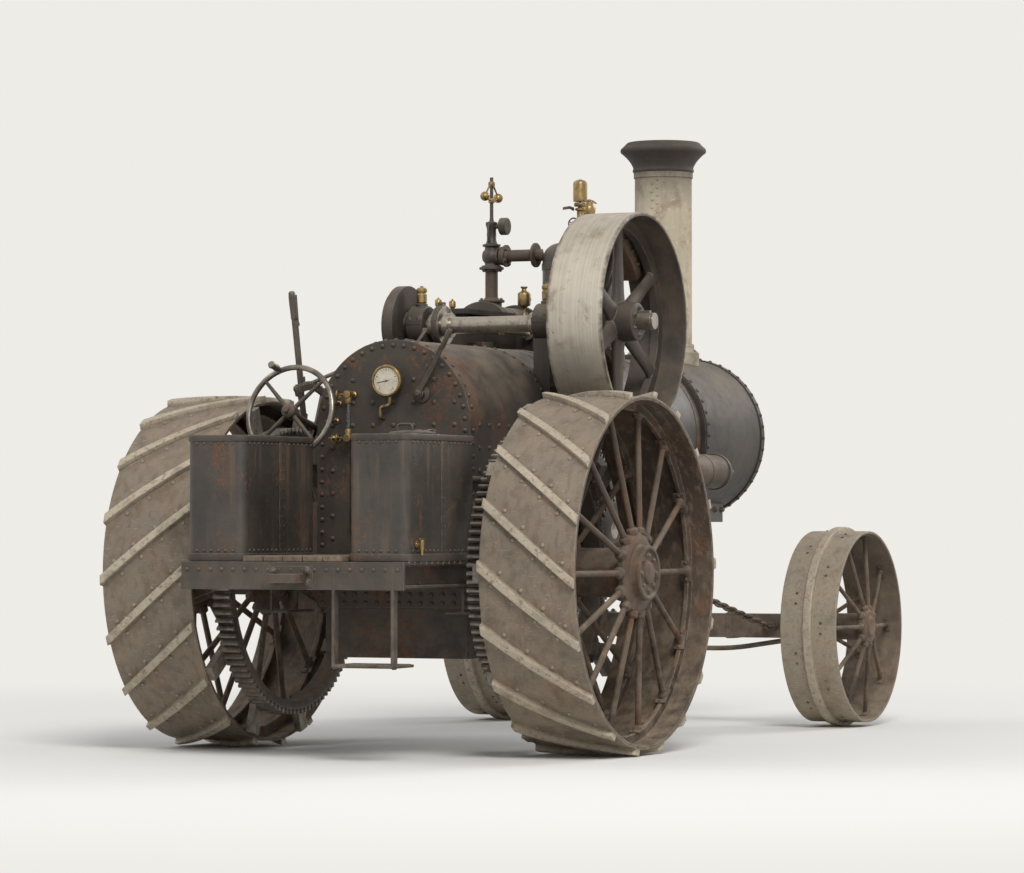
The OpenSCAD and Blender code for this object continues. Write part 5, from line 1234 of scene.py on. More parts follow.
# Belt wheel
# A broad flywheel with a flat face, worn bright across its middle, on six tapering oval spokes. Inside
# its rim the clutch spider carries two wooden shoes that grip it for the road.
wheel_in, wheel_out = -0.56, -0.84
wheel_mid = (wheel_in + wheel_out) / 2
coat = Coat("belt_wheel_face", (0.52, 0.475, 0.395), (0.385, 0.34, 0.27), 0.4, 0.55, 4.0)
lines = coat.cloud(1.0, 0.42, 0.62, 5, stretch=(0.6, 90, 0.6))
coat.over(coat.times(lines, 0.45), (0.64, 0.6, 0.52), 0.26, 0.75)
coat.over(coat.cloud(8, 0.54, 0.74, 9, shift=4.0), (0.19, 0.14, 0.092), 0.7, 0.2)
side_place = coat.sums("ABSOLUTE", coat.sums("SUBTRACT", coat.part(coat.place, "Y"), wheel_mid))
margin = coat.span(side_place, 0.118, 0.136)
coat.over(coat.times(margin, coat.cloud(20, 0.3, 0.6, 6)), (0.1, 0.07, 0.048), 0.75, 0.2)
inside = coat.span(coat.radius(crank, (1, 0, 1)), 0.509, 0.502)
coat.over(inside, coat.blend(coat.cloud(7, 0.38, 0.64, 9), (0.04, 0.033, 0.028),
    (0.095, 0.07, 0.052)), 0.6, 0.2)
belt_face = (coat.raised(lines, 0.0004).rusted(0.24, 12.0, 0.0003)
    .rubbed(0.6, 0.004, (0.5, 0.46, 0.4), 0.3, 0.9).dusted(0.35, 0.2).done("belt_wheel_iron"))
wheel_black = (Coat("belt_wheel_iron", (0.04, 0.033, 0.028), (0.085, 0.066, 0.051), 0.58, 0.2)
    .rusted(0.3, 7.0).streaked(0.35).rubbed(0.8).dusted(0.26, 0.2).cast(0.0008, 120)
    .done("belt_wheel_iron"))
shape = Shape()
shape.lathe([(497.5, -140), (512.5, -140), (514.2, -125), (515, -50), (515, 50), (514.2, 125),
    (512.5, 140), (497.5, 140), (495.5, 100), (495, 0), (495.5, -100)],
    (crank.x, wheel_mid, crank.z), left, 128, hollow=True)
shape.made("belt_wheel_rim", belt_face, "crankshaft", 0.0015, ("flywheel",), sharp=30)
shape = Shape()
shape.lathe([(40.2, -110), (80, -110), (88, -104), (94, -60), (98, 0), (94, 60), (88, 104),
    (80, 110), (40.2, 110)], (crank.x, wheel_mid, crank.z), left, 56, hollow=True)
shape.lathe([(444, -20), (470, -12), (496, -20), (496, 20), (470, 12), (444, 20)],
    (crank.x, wheel_mid, crank.z), left, 96, hollow=True)
for i in range(6):
    turn = Matrix.Translation((crank.x, wheel_mid, crank.z)) @ Matrix.Rotation(tau * i / 6, 4, "Y")
    loops = []
    for out, wide, deep in ((0.07, 0.062, 0.034), (0.1, 0.05, 0.029), (0.14, 0.043, 0.026),
            (0.25, 0.038, 0.023), (0.36, 0.033, 0.02), (0.42, 0.034, 0.02), (0.45, 0.041, 0.021),
            (0.472, 0.056, 0.022)):
        loops.append([turn @ Vector((wide * cos(a), deep * sin(a), out))
            for a in (tau * j / 20 for j in range(20))])
    shape.rings(loops)
shape.made("belt_wheel_spokes", wheel_black, "crankshaft", 0.0, sharp=40)
shape = Shape()
spider_y, clutch_y = -0.565, -0.615
shape.lathe([(40.2, -20), (72, -20), (76, -16), (76, 15), (72, 19), (40.2, 19)],
    (crank.x, spider_y, crank.z), left, 40, hollow=True)
for i in range(2):
    turn = Matrix.Translation((crank.x, spider_y, crank.z)) @ Matrix.Rotation(pi * i + 0.55, 4, "Y")
    shape.block((-0.03, -0.012, 0.06), (0.03, 0.012, 0.4), turn)
    shape.block((-0.009, -0.03, 0.07), (0.009, -0.01, 0.4), turn)
    shape.block((-0.07, -0.03, 0.388), (0.07, 0.012, 0.402), turn)
    shape.bar(turn @ Vector((-0.105, -0.008, 0.393)), turn @ Vector((0.105, -0.008, 0.393)), 0.011)
    shape.bar(turn @ Vector((0.075, -0.01, 0.38)), turn @ Vector((0.045, 0.0, 0.085)), 0.009)
shape.made("clutch_spider_arms", wheel_black, "crankshaft", 0.003, ("clutch_spider",),
    slot="cast_iron_dark")
shoe_wood = Coat("shoe_wood", (0.15, 0.095, 0.052), (0.085, 0.052, 0.03), 0.7, 0.0, 6.0)
shoe_wood.over(shoe_wood.cloud(40, 0.45, 0.7, 5, stretch=(1, 6, 1)), (0.045, 0.028, 0.018), 0.8)
shoe_finish = shoe_wood.dusted(0.3, 0.2).raised(shoe_wood.cloud(60, 0.3, 0.7, 4, stretch=(1, 8, 1)),
    0.0006).done("belt_wheel_iron")
shape = Shape()
for i in range(2):
    middle = pi * i + 0.55
    loops = []
    for j in range(13):
        a = middle - 0.46 + 0.92 * j / 12
        out = Vector((sin(a), 0, cos(a)))
        at = Vector((crank.x, clutch_y, crank.z))
        loops.append([at + out * r + Vector((0, y, 0)) for r, y in ((0.4, -0.04), (0.4885, -0.04),
            (0.4885, 0.04), (0.4, 0.04))])
    shape.rings(loops)
shape.made("clutch_shoes", shoe_finish, "crankshaft", 0.003)
places = []
for i in range(2):
    middle = pi * i + 0.55
    for a in (middle - 0.3, middle - 0.1, middle + 0.1, middle + 0.3):
        places += [((crank.x + 0.444 * sin(a), clutch_y + s * 0.04, crank.z + 0.444 * cos(a)),
            (0, s, 0)) for s in (-1, 1)]
places += ring_places((crank.x, wheel_mid - 0.11, crank.z), right, 0.064, 6, outward=False)
heads("clutch_bolts", places, 0.0095, 0.009, wheel_black, "crankshaft", tree=bolt_heads)
shape = Shape()
shape.lathe([(0, 0), (36, 0), (39, -3), (39, -12), (0, -12)], (crank.x, -0.8795, crank.z), left, 36)
shape.block((crank.x - 0.01, -0.868, crank.z + 0.034), (crank.x + 0.01, -0.79, crank.z + 0.05))
shape.made("crankshaft_key", bright, "crankshaft", 0.001)


# Driving gears
# Cast gears from the clutch pinion to the differential, and bull gears inside the rear wheels. Their
# teeth are cast and worn bright on the flanks, with black grease packed in the roots.
def gear_finish(name, centre, pitch_r, tall, low=0.1):
    coat = Coat(name, (0.044, 0.036, 0.03), (0.088, 0.068, 0.051), 0.6, 0.25)
    coat.rusted(0.38, 8.0).streaked(0.3).rubbed(0.6, 0.005)
    radius = coat.radius(centre, (1, 0, 1))
    flank = coat.times(coat.span(radius, pitch_r - tall * 0.7, pitch_r - tall * 0.1),
        coat.cloud(30, 0.25, 0.6, 6))
    coat.over(coat.times(flank, 0.8), (0.34, 0.31, 0.265), 0.33, 0.85)
    root = coat.times(coat.span(radius, pitch_r - tall * 2.2, pitch_r - tall * 1.3),
        coat.span(radius, pitch_r - tall * 0.3, pitch_r - tall * 1.1))
    coat.over(coat.times(root, coat.cloud(18, 0.25, 0.5, 6, shift=2.0)), (0.012, 0.01, 0.009), 0.25,
        0.0)
    return coat.dusted(0.38, low).cast(0.0007, 130).done()


counter = Vector((-0.3601, 0, 1.015))
middle = Vector((-0.20548, 0, 1.66179))
rear = Vector((-1.1475, 0, 0.825))
front = Vector((1.9325, 0, 0.515))
dress(gear_finish("clutch_gear_iron", crank, 0.11, 0.01), "clutch_pinion")
dress(gear_finish("middle_gear_iron", middle, 0.265, 0.01), "intermediate_gear")
dress(gear_finish("differential_gear_iron", counter, 0.4, 0.01, 0.6), "differential_gear")
dress(gear_finish("bull_pinion_iron", counter, 0.15, 0.012, 0.6), "bull_pinion_left",
    "bull_pinion_right")
dress(gear_finish("bull_gear_iron", rear, 0.66, 0.012, 0.9), "bull_gear_left", "bull_gear_right")
gear_iron = (Coat("gear_iron", (0.044, 0.036, 0.03), (0.09, 0.07, 0.053), 0.58, 0.25)
    .rusted(0.36, 8.0).streaked(0.4).rubbed(0.8).dusted(0.32, 0.6).cast(0.0008).done("gear_iron"))
dress(gear_iron, "shaft_brackets")
shape = Shape()
shape.lathe([(35.5, -6), (66, -6), (72, 0), (72, 90), (66, 95), (35.5, 95)],
    (middle.x, -0.44, middle.z), right, 40, hollow=True)
for i in range(5):
    turn = Matrix.Translation((middle.x, -0.4875, middle.z)) @ Matrix.Rotation(tau * i / 5, 4, "Y")
    shape.block((-0.009, -0.034, 0.066), (0.009, 0.034, 0.216), turn)
shape.made("intermediate_gear_ribs", gear_iron, "intermediate_gear", 0.002)
shape = Shape()
for i in range(6):
    turn = Matrix.Translation((counter.x, -0.4875, counter.z)) @ Matrix.Rotation(tau * i / 6, 4,
        "Y")
    shape.block((-0.01, -0.038, 0.1), (0.01, 0.038, 0.352), turn)
for i in range(3):
    turn = Matrix.Translation((counter.x, -0.4875, counter.z)) @ Matrix.Rotation(tau * (i +
        0.5) / 3, 4, "Y")
    shape.lathe([(18, -56), (45, -48), (50, -30), (50, 30), (45, 48), (18, 56)],
        turn @ Vector((0, 0, 0.215)), turn.to_3x3() @ Vector(up), 20)
    shape.bar(turn @ Vector((0, 0, 0.09)), turn @ Vector((0, 0, 0.355)), 0.017)
shape.lathe([(41.5, -53), (112, -53), (122, -47), (130, 0), (122, 47), (112, 53), (41.5, 53)],
    (counter.x, -0.4875, counter.z), right, 48, hollow=True)
shape.made("differential_pinions", gear_iron, "differential_gear", 0.002)
places = ring_places((counter.x, -0.5405, counter.z), right, 0.098, 8, outward=False)
heads("differential_bolts", places, 0.0105, 0.01, gear_iron, "differential_gear", tree=bolt_heads)
dress(bright, "countershaft")
places = []
for s in (-1, 1):
    for x in (-0.022, 0.046):
        places += [((counter.x + x, s * 0.375, z), (0, s, 0)) for z in (1.13, 1.19, 1.25, 1.31)]
places += [((middle.x + x, -0.42, middle.z + z), right) for x in (-0.066, 0.066)
    for z in (-0.095, 0.038)]
places += [((crank.x + x, -0.375, z), right) for x in (-0.042, 0.042) for z in (1.7, 1.78, 1.86)]
heads("bracket_bolts", places, 0.0125, 0.012, gear_iron, tree=bolt_heads)
shape = Shape()
for s in (-1, 1):
    shape.ring(0.0785, 0.084, -0.044, 0.044, (counter.x, s * 0.3325, counter.z), left, 44)
oil_cup(shape, (middle.x, -0.36, middle.z + 0.058), 0.8)
shape.made("bracket_bushes", gear_iron, bevel=0.001)


# Rear wheels
# Rolled rims with slanted cast lugs, two rows of round spokes screwed into a cast hub and riveted
# through clips at the T-irons of the rim. Treads are worn pale, the rest is rusty and mud-splashed.
coat = Coat("wheel_iron", (0.048, 0.034, 0.026), (0.1, 0.068, 0.047), 0.66, 0.2, 4.0)
wheel_iron = (coat.rusted(0.5, 5.0).rubbed(0.8, 0.007, (0.28, 0.24, 0.19), 0.45, 0.6)
    .dusted(0.46, 1.2).rolled(0.002, 8.0).cast(0.0004, 200).done("wheel_iron"))


def tread_finish(name, centre, radius, band):
    """Wheel iron whose outermost metal is scoured pale by the road."""
    coat = Coat(name, (0.048, 0.034, 0.026), (0.098, 0.067, 0.046), 0.66, 0.2, 4.0)
    coat.rusted(0.46, 5.0)
    scour = coat.times(coat.span(coat.radius(centre, (1, 0, 1)), radius - band,
        radius - band * 0.35), coat.cloud(9, 0.14, 0.48, 9, shift=2.0))
    coat.over(coat.times(scour, 0.92), (0.49, 0.425, 0.325), 0.52, 0.35)
    coat.over(coat.times(scour, coat.cloud(46, 0.52, 0.68, 8, shift=6.0)), (0.2, 0.14, 0.09), 0.8,
        0.1)
    # dirt packed on the plate below the lugs, and grit cuts in the metal
    foot = coat.span(coat.radius(centre, (1, 0, 1)), radius - band * 0.6, radius - band * 0.72)
    packed = coat.cloud(16, 0.5, 0.63, 10, stretch=(1, 1.8, 1), shift=11.0)
    coat.over(coat.times(coat.times(foot, packed), 0.8), (0.155, 0.112, 0.075), 0.95, 0.0)
    cuts = coat.cloud(150, 0.6, 0.66, 3, stretch=(1, 0.18, 1), shift=13.0)
    coat.over(coat.times(cuts, coat.times(scour, 0.7)), (0.62, 0.57, 0.48), 0.35, 0.6)
    coat.raised(coat.sums("SUBTRACT", packed, cuts), 0.0012)
    return coat.rubbed(0.8, 0.008, (0.52, 0.47, 0.38), 0.42, 0.6).dusted(0.42, 1.1).rolled(0.002,
        9.0).done("wheel_iron")


rear_tread = tread_finish("rear_tread_iron", rear, 0.825, 0.036)
dress(rear_tread, "rear_rim_left", "rear_rim_right")
dress(wheel_iron, "rear_axle")


def spoke(shape, hub_at, rim_at, out, side_way, bar_r, sleeve, foot, pad):
    """A round spoke with the sleeve that screws it into the hub and its flat foot on the rim."""
    way = (rim_at - hub_at).normalized()
    shape.bar(hub_at, rim_at, bar_r, steps=14)
    shape.turned(sleeve[1:], hub_at + way * sleeve[0], way, 12)
    wide, deep, thick = pad
    shape.rings([[foot + side_way * x + Vector((0, y, 0)) - out * t for x,
        y in ((-wide, -deep), (wide, -deep), (wide, deep), (-wide, deep))] for t in (0.0, thick)])
    return way


hub_profile = [(0.0605, 0.692), (0.118, 0.692), (0.125, 0.699), (0.125, 0.736), (0.172, 0.741),
    (0.18, 0.747), (0.18, 0.771), (0.172, 0.777), (0.13, 0.784), (0.121, 0.8), (0.112, 0.86),
    (0.112, 1.03), (0.121, 1.09), (0.13, 1.106), (0.172, 1.113), (0.18, 1.119), (0.18, 1.143),
    (0.172, 1.149), (0.128, 1.155), (0.125, 1.162), (0.125, 1.192), (0.119, 1.199), (0.108, 1.199),
    (0.104, 1.188), (0.052, 1.188), (0.048, 1.2), (0.04, 1.204), (0, 1.204), (0, 1.16),
    (0.0605, 1.16)]
for side, label in ((1, "left"), (-1, "right")):
    body = "rear_wheel_" + label
    slant = side * radians(38)
    places = []
    for i in range(18):
        for along in (-0.19, -0.065, 0.065, 0.19):
            for across in (-0.036, 0.036):
                y = side * 0.952 + along * cos(slant) + across * sin(slant)
                a = tau * i / 18 + (across * cos(slant) - along * sin(slant)) / 0.797
                out = Vector((sin(a), 0, cos(a)))
                places.append((Vector((rear.x, y, rear.z)) + out * 0.797, out))
    heads("rear_lug_rivets_" + label, places, 0.012, 0.006, rear_tread, body)
    shape = Shape().turned(hub_profile, (rear.x, 0, rear.z), (0, side, 0), 64, hollow=True)
    places = []
    for row in (0, 1):
        hub_y = side * (0.759 if row == 0 else 1.131)
        rim_y = side * (0.837 if row == 0 else 1.067)
        for i in range(14):
            a = (i + row / 2) * tau / 14
            out = Vector((sin(a), 0, cos(a)))
            side_way = Vector((cos(a), 0, -sin(a)))
            hub_at = Vector((rear.x, hub_y, rear.z)) + out * 0.165
            rim_at = Vector((rear.x, rim_y, rear.z)) + out * 0.7385
            foot = Vector((rear.x, rim_y, rear.z)) + out * 0.7395
            way = spoke(shape, hub_at, rim_at, out, side_way, 0.014, [0.01, (0.0, 0), (0.024, 0),
                (0.027, 0.004), (0.027, 0.024), (0.02, 0.032), (0.014, 0.032)], foot,
                (0.048, 0.026, 0.009))
            shape.lathe([(27, 0), (22, 12), (14, 20)], foot - out * 0.009, -way, 12)
            places += [(foot + side_way * x - out * 0.009, -out) for x in (-0.037, 0.037)]
    shape.made("rear_hub_" + label, wheel_iron, body, 0.0, ("rear_spokes_" + label,), sharp=30)
    heads("rear_clip_rivets_" + label, places, 0.009, 0.006, wheel_iron, body)
    heads("rear_hub_bolts_" + label, ring_places((rear.x, side * 1.188, rear.z), (0, side, 0),
        0.079, 8, outward=False), 0.011, 0.009, wheel_iron, body, tree=bolt_heads)
places = []
for s in (-1, 1):
    for x in (-0.155, -0.1, 0.1, 0.19):
        places += [((rear.x + x, s * 0.426, z), (0, s, 0)) for z in (0.74, 0.83, 1.02, 1.11)]
    places += ring_places((rear.x, s * 0.452, rear.z), (0, s, 0), 0.122, 8, outward=False)
heads("axle_plate_bolts", places, 0.0135, 0.012, boiler_plate, tree=bolt_heads)


# Front pedestal and axle
# A cast saddle and column under the smokebox take the king pin of a forged axle beam, which turns on
# a greased plate and is braced by a truss rod. Chain eyes stand behind the beam's ends.
dress(cast_black, "front_pedestal")
axle_iron = (Coat("axle_iron", (0.052, 0.04, 0.032), (0.105, 0.076, 0.055), 0.66, 0.2, 5.0)
    .rusted(0.46, 7.0).rubbed(0.8, 0.008).dusted(0.5, 1.0).cast(0.0006, 180).done("wheel_iron"))
dress(axle_iron, "front_axle")
places = []
for s in (-1, 1):
    places += [((front.x + x, s * 0.2, 1.074), up) for x in (-0.16, 0.16)]
    places += [((front.x + x, s * 0.23, 1.12), (0, s, 0)) for x in (-0.14, -0.05, 0.05, 0.14)]
places += ring_places((front.x, 0, 0.6703), up, 0.117, 8, outward=False)
heads("pedestal_bolts", places, 0.0135, 0.012, cast_black, tree=bolt_heads)
shape = Shape()
band_y = (0.352, 0.719)
for s in (-1, 1):
    shape.hoop((front.x - 0.075, s * 0.59, 0.515), up, 0.036, 0.008, 28, 10)
    shape.ring(0.062, 0.07, -0.006, 0.006, (front.x, s * 0.771, front.z), left, 40)
shape.pipe([(front.x - 0.02, -band_y[1], 0.45), (front.x - 0.02, -0.36, 0.395),
    (front.x - 0.02, 0.36, 0.395), (front.x - 0.02, band_y[1], 0.45)], 0.013, bend=0.1)
shape.block((front.x - 0.05, -0.03, 0.386), (front.x + 0.01, 0.03, 0.456))
shape.made("axle_truss_rod", axle_iron, "front_axle", 0.002)
heads("axle_band_nuts", [((front.x + x, s * y, 0.582), up) for s in (-1, 1) for y in band_y
    for x in (-0.045, 0.045)], 0.011, 0.01, axle_iron, "front_axle", tree=bolt_heads)


# Front wheels
# Like the rear ones but smooth, with a guide band shrunk round the middle of the tread, two rows
# of ten round spokes, and a grease cap on the hub.
front_tread = tread_finish("front_tread_iron", front, 0.515, 0.04)
for side, label in ((1, "left"), (-1, "right")):
    body = "front_wheel_" + label
    shape = Shape()
    mid = side * 0.96
    shape.lathe([(479, -150), (491.5, -150), (493, -148), (493, -23), (512, -22), (515, -18),
        (515, 18), (512, 22), (493, 23), (493, 148), (491.5, 150), (479, 150)],
        (front.x, mid, front.z), left, 112, hollow=True)
    shape.made("front_rim_" + label, front_tread, body, 0.0, ("front_rim_" + label,), sharp=25)
    shape = Shape().lathe([(34.5, -178), (66, -178), (78, -170), (90, -158), (90, -130), (78, -120),
        (70, -98), (68, 0), (70, 90), (78, 112), (90, 122), (90, 148), (78, 156), (34.5, 156)],
        (front.x, mid, front.z), (0, side, 0), 48, hollow=True)
    shape.lathe([(34.5, 148), (56, 148), (56, 158), (46, 162), (42, 166), (0, 166), (0, 158),
        (34.5, 158)], (front.x, mid, front.z), (0, side, 0), 40, hollow=True)
    places = []
    for row in (0, 1):
        hub_y = mid + side * (-0.138 if row == 0 else 0.138)
        rim_y = mid + side * (-0.07 if row == 0 else 0.07)
        for i in range(10):
            a = (i + row / 2) * tau / 10
            out = Vector((sin(a), 0, cos(a)))
            side_way = Vector((cos(a), 0, -sin(a)))
            hub_at = Vector((front.x, hub_y, front.z)) + out * 0.078
            rim_at = Vector((front.x, rim_y, front.z)) + out * 0.48
            foot = Vector((front.x, rim_y, front.z)) + out * 0.48
            spoke(shape, hub_at, rim_at, out, side_way, 0.011, [0.008, (0.0, 0), (0.018, 0),
                (0.02, 0.003), (0.02, 0.018), (0.015, 0.024), (0.011, 0.024)], foot,
                (0.036, 0.019, 0.008))
            places += [(foot + side_way * x - out * 0.008, -out) for x in (-0.027, 0.027)]
            rivet_out = Vector((front.x, rim_y, front.z)) + out * 0.493
            places += [(rivet_out + side_way * x, out) for x in (-0.027, 0.027)]
    shape.made("front_hub_" + label, wheel_iron, body, 0.0, ("front_spokes_" + label,), sharp=30)
    heads("front_clip_rivets_" + label, places, 0.0075, 0.0045, wheel_iron, body)


# Steering gear
# A worm on the long hand-wheel shaft turns a worm wheel and roller under the barrel. Each end of a
# chain wound on the roller runs forward to one end of the axle.
roller = Vector((0.3325, 0, 0.93))
dress(gear_iron, "steering_gear")
shape = Shape()
teeth = 36
loops = []
for y, r_out in ((0.426, 0.086), (0.434, 0.0985), (0.466, 0.0985), (0.474, 0.086)):
    loop = []
    for i in range(teeth * 4):
        a = tau * i / (teeth * 4)
        r = r_out if i % 4 in (0, 1) else r_out - 0.009
        loop.append((roller.x + r * cos(a), y, roller.z + r * sin(a)))
    loops.append(loop)
shape.rings(loops)
shape.lathe([(50, 0), (50, 6), (44, 10), (0, 10)], (roller.x, 0.4745, roller.z), left, 32)
for s in (-1, 1):
    for y in (s * 0.02, s * 0.225):
        shape.ring(0.0475, 0.066, -0.008, 0.008, (roller.x, y, roller.z), left, 36)
shape.made("worm_wheel", gear_iron, bevel=0.0012)
chain_iron = (Coat("chain_iron", (0.085, 0.062, 0.046), (0.15, 0.115, 0.085), 0.55, 0.5, 12.0)
              .rusted(0.45, 20.0, 0.0003).rubbed(0.8, 0.003).dusted(0.5, 0.9).done("gear_iron"))


def link_tree():
    """Geometry Nodes: oval links along a line of points, each turned a quarter from the one before."""
    tree, add, join, given = points_tree("chain_links", Length=0.05, Bar=0.006)
    oval = add("GeometryNodeCurvePrimitiveCircle")
    oval.inputs["Resolution"].default_value = 14
    oval.inputs["Radius"].default_value = 0.5
    stretch = add("GeometryNodeTransform")
    scale = add("ShaderNodeCombineXYZ")
    half = add("ShaderNodeMath")
    half.operation = "MULTIPLY"
    half.inputs[1].default_value = 0.62
    join(given.outputs["Length"], half.inputs[0])
    join(half.outputs[0], scale.inputs[0])
    join(half.outputs[0], scale.inputs[1])
    join(given.outputs["Length"], scale.inputs[2])
    upright = add("GeometryNodeTransform")
    upright.inputs["Rotation"].default_value = (pi / 2, 0, 0)
    join(oval.outputs["Curve"], upright.inputs["Geometry"])
    join(upright.outputs[0], stretch.inputs["Geometry"])
    join(scale.outputs[0], stretch.inputs["Scale"])
    section = add("GeometryNodeCurvePrimitiveCircle")
    section.inputs["Resolution"].default_value = 6
    join(given.outputs["Bar"], section.inputs["Radius"])
    solid = add("GeometryNodeCurveToMesh")
    join(stretch.outputs[0], solid.inputs["Curve"])
    join(section.outputs["Curve"], solid.inputs["Profile Curve"])
    smooth = add("GeometryNodeSetShadeSmooth")
    join(solid.outputs[0], smooth.inputs[0])
    count = add("GeometryNodeInputIndex")
    quarter = add("ShaderNodeMath")
    quarter.operation = "MULTIPLY"
    quarter.inputs[1].default_value = pi / 2
    join(count.outputs[0], quarter.inputs[0])
    spin = add("FunctionNodeAxisAngleToRotation")
    spin.inputs["Axis"].default_value = up
    join(quarter.outputs[0], spin.inputs["Angle"])
    both = add("FunctionNodeRotateRotation")
    both.rotation_space = "LOCAL"
    join(aimed(add, join), both.inputs["Rotation"])
    join(spin.outputs[0], both.inputs["Rotate By"])
    set_on_points(add, join, given, smooth.outputs[0], both.outputs[0])
    return tree


link_length, link_bar = 0.052, 0.0065
chain_tree = link_tree()
for s, label in ((1, "left"), (-1, "right")):
    eye = Vector((front.x - 0.112, s * 0.59, front.z))
    drum = Vector((roller.x + 0.015, s * 0.12, roller.z - s * 0.06))
    pitch = link_length - 2.6 * link_bar
    count = int((eye - drum).length / pitch)
    points = [eye.lerp(drum, i / count) for i in range(count + 1)]
    mesh = bpy.data.meshes.new("chain_" + label)
    mesh.from_pydata(points, [], [])
    aim = mesh.attributes.new("aim", "FLOAT_VECTOR", "POINT")
    aim.data.foreach_set("vector", list((drum - eye).normalized()) * len(points))
    piece = bpy.data.objects.new("steering_chain_" + label, mesh)
    bpy.context.scene.collection.objects.link(piece)
    grown(piece, chain_tree, Length=link_length, Bar=link_bar, Finish=chain_iron)
    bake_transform(piece)
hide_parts("steering_chains")
shape = Shape()
for s in (-1, 1):
    for k in range(5):
        y = s * (0.12 - 0.021 * (k - 1))
        loop_r = 0.0595
        shape.hoop((roller.x, y, roller.z), (0, 1, s * 0.09), loop_r, 0.0095, 36, 8)
shape.made("roller_chain_turns", chain_iron)


# Steering column
# The hand wheel's long shaft slopes down the engine's left side to the worm, in two bearings
# bracketed from the boiler. The wheel has a turned grip.
dress(gear_iron, "steering_column")
worm_at = Vector((0.3325, 0.45, 1.067))
wheel_at = Vector((-1.4975, 0.45, 1.56))
way = (wheel_at - worm_at).normalized()
across = Vector(left)
third = way.cross(across)
shape = Shape()
shape.lathe([(0, -90), (22, -90), (24, -86), (24, 86), (22, 90), (0, 90)], worm_at, way, 24)
turns, steps = 5.0, 16
loops = []
for i in range(int(turns * steps) + 1):
    a = tau * i / steps
    out = across * cos(a) + third * sin(a)
    at = worm_at + way * (-0.075 + 0.15 * i / (turns * steps))
    loops.append([at + out * 0.023 - way * 0.01, at + out * 0.034 - way * 0.0045, at + out * 0.034 +
        way * 0.0045, at + out * 0.023 + way * 0.01])
shape.rings(loops)
length = (wheel_at - worm_at).length
shape.bar(worm_at - way * 0.1, wheel_at + way * 0.03, 0.0148, steps=20)
for d in (length * 0.26, length * 0.79):
    at = worm_at + way * d
    shape.lathe([(15, -30), (27, -30), (30, -24), (30, 24), (27, 30), (15, 30)], at, way, 28,
        hollow=True)
    shape.block((-0.018, -0.25, -0.02), (0.018, -0.018, 0.02), Matrix.Translation(at) @
        Matrix.Rotation(-atan2(way.z, -way.x), 4, "Y").inverted())
    for e in (-0.05, 0.05):
        shape.ring(0.015, 0.023, -0.009, 0.009, at + way * e, way, 20)
shape.lathe([(14.8, -36), (26, -34), (34, -25), (36, 0), (34, 25), (26, 34), (14.8, 36)], wheel_at,
    way, 36, hollow=True)
for k in range(4):
    a = radians(45 + 90 * k)
    out = across * cos(a) + third * sin(a)
    shape.bar(wheel_at + out * 0.026, wheel_at + out * 0.212, 0.0115, 0.008, 14)
shape.hexagon(wheel_at + way * 0.036, way, 0.017, 0.016)
shape.made("steering_shaft", gear_iron, bevel=0.0008, stands_for=("steering_column",))
worn_grip = Coat("hand_wheel_rim", (0.135, 0.118, 0.098), (0.072, 0.058, 0.046), 0.36, 0.6, 14.0)
worn_grip.over(worn_grip.cloud(9, 0.45, 0.65, 8), (0.3, 0.27, 0.23), 0.28, 0.85)
grip_finish = worn_grip.rusted(0.25, 20.0, 0.0003).dusted(0.25, 0.3).done("bright_steel")
shape = Shape().hoop(wheel_at, way, 0.215, 0.0128, 72, 14)
knob = wheel_at + (across * cos(1.2) - third * sin(1.2)) * 0.215
shape.lathe([(8, 10), (8, 20), (14, 26), (17, 45), (15, 72), (18, 92), (14, 102), (0, 105)], knob,
    way, 20)
shape.made("hand_wheel_rim", grip_finish)


# Reversing lever
# A forged hand lever on the firebox's left side, latched into a notched quadrant. Its reach rod
# runs forward to a rocker that shifts the eccentric's link.
quad = Vector((-1.2501, 0.476, 1.38))
rocker = Vector((-0.6275, 0.275, 1.9))
lean = radians(12)
lever_iron = (Coat("lever_iron", (0.06, 0.052, 0.045), (0.12, 0.096, 0.074), 0.45, 0.5, 9.0)
    .rusted(0.3, 14.0).rubbed(1.0, 0.006, (0.33, 0.3, 0.26), 0.28, 0.9).dusted(0.4, 0.4)
    .done("cast_iron_dark"))
shape = Shape()
loops = []
for step in range(57):
    a = radians(62 + step)
    outer = 0.33 if step % 4 < 2 else 0.319
    loops.append([quad + Vector((cos(a) * r, d, sin(a) * r)) for r,
        d in ((0.2875, -0.0062), (outer, -0.0062), (outer, 0.0062), (0.2875, 0.0062))])
shape.rings(loops)
for angle in (66, 112):
    turn = Matrix.Translation(quad) @ Matrix.Rotation(radians(90 - angle), 4, "Y")
    shape.block((-0.0125, -0.0052, 0.0), (0.0125, 0.0052, 0.312), turn)
    shape.hexagon(turn @ Vector((0, 0.006, 0.306)), left, 0.011, 0.008)
shape.block((quad.x - 0.0605, 0.3915, quad.z - 0.0605), (quad.x + 0.0605, quad.y - 0.0015,
    quad.z + 0.0605))
shape.lathe([(0, -11), (40.5, -11), (40.5, 12), (30, 16), (30, 34.5), (20, 35), (0, 35)], quad,
    left, 40)
shape.hexagon(quad + Vector((0, 0.035, 0)), left, 0.022, 0.016)
hand = Matrix.Translation(quad + Vector((0, 0.016, 0))) @ Matrix.Rotation(-lean, 4, "Y")
steps = ((-0.03, 0.022), (0.0, 0.034), (0.045, 0.026), (0.12, 0.0185), (0.4, 0.0165),
    (0.64, 0.0162))
shape.rings([[hand @ Vector((s * half, d, z)) for s, d in ((-1, -0.0062), (1, -0.0062), (1, 0.0062),
    (-1, 0.0062))] for z, half in steps])
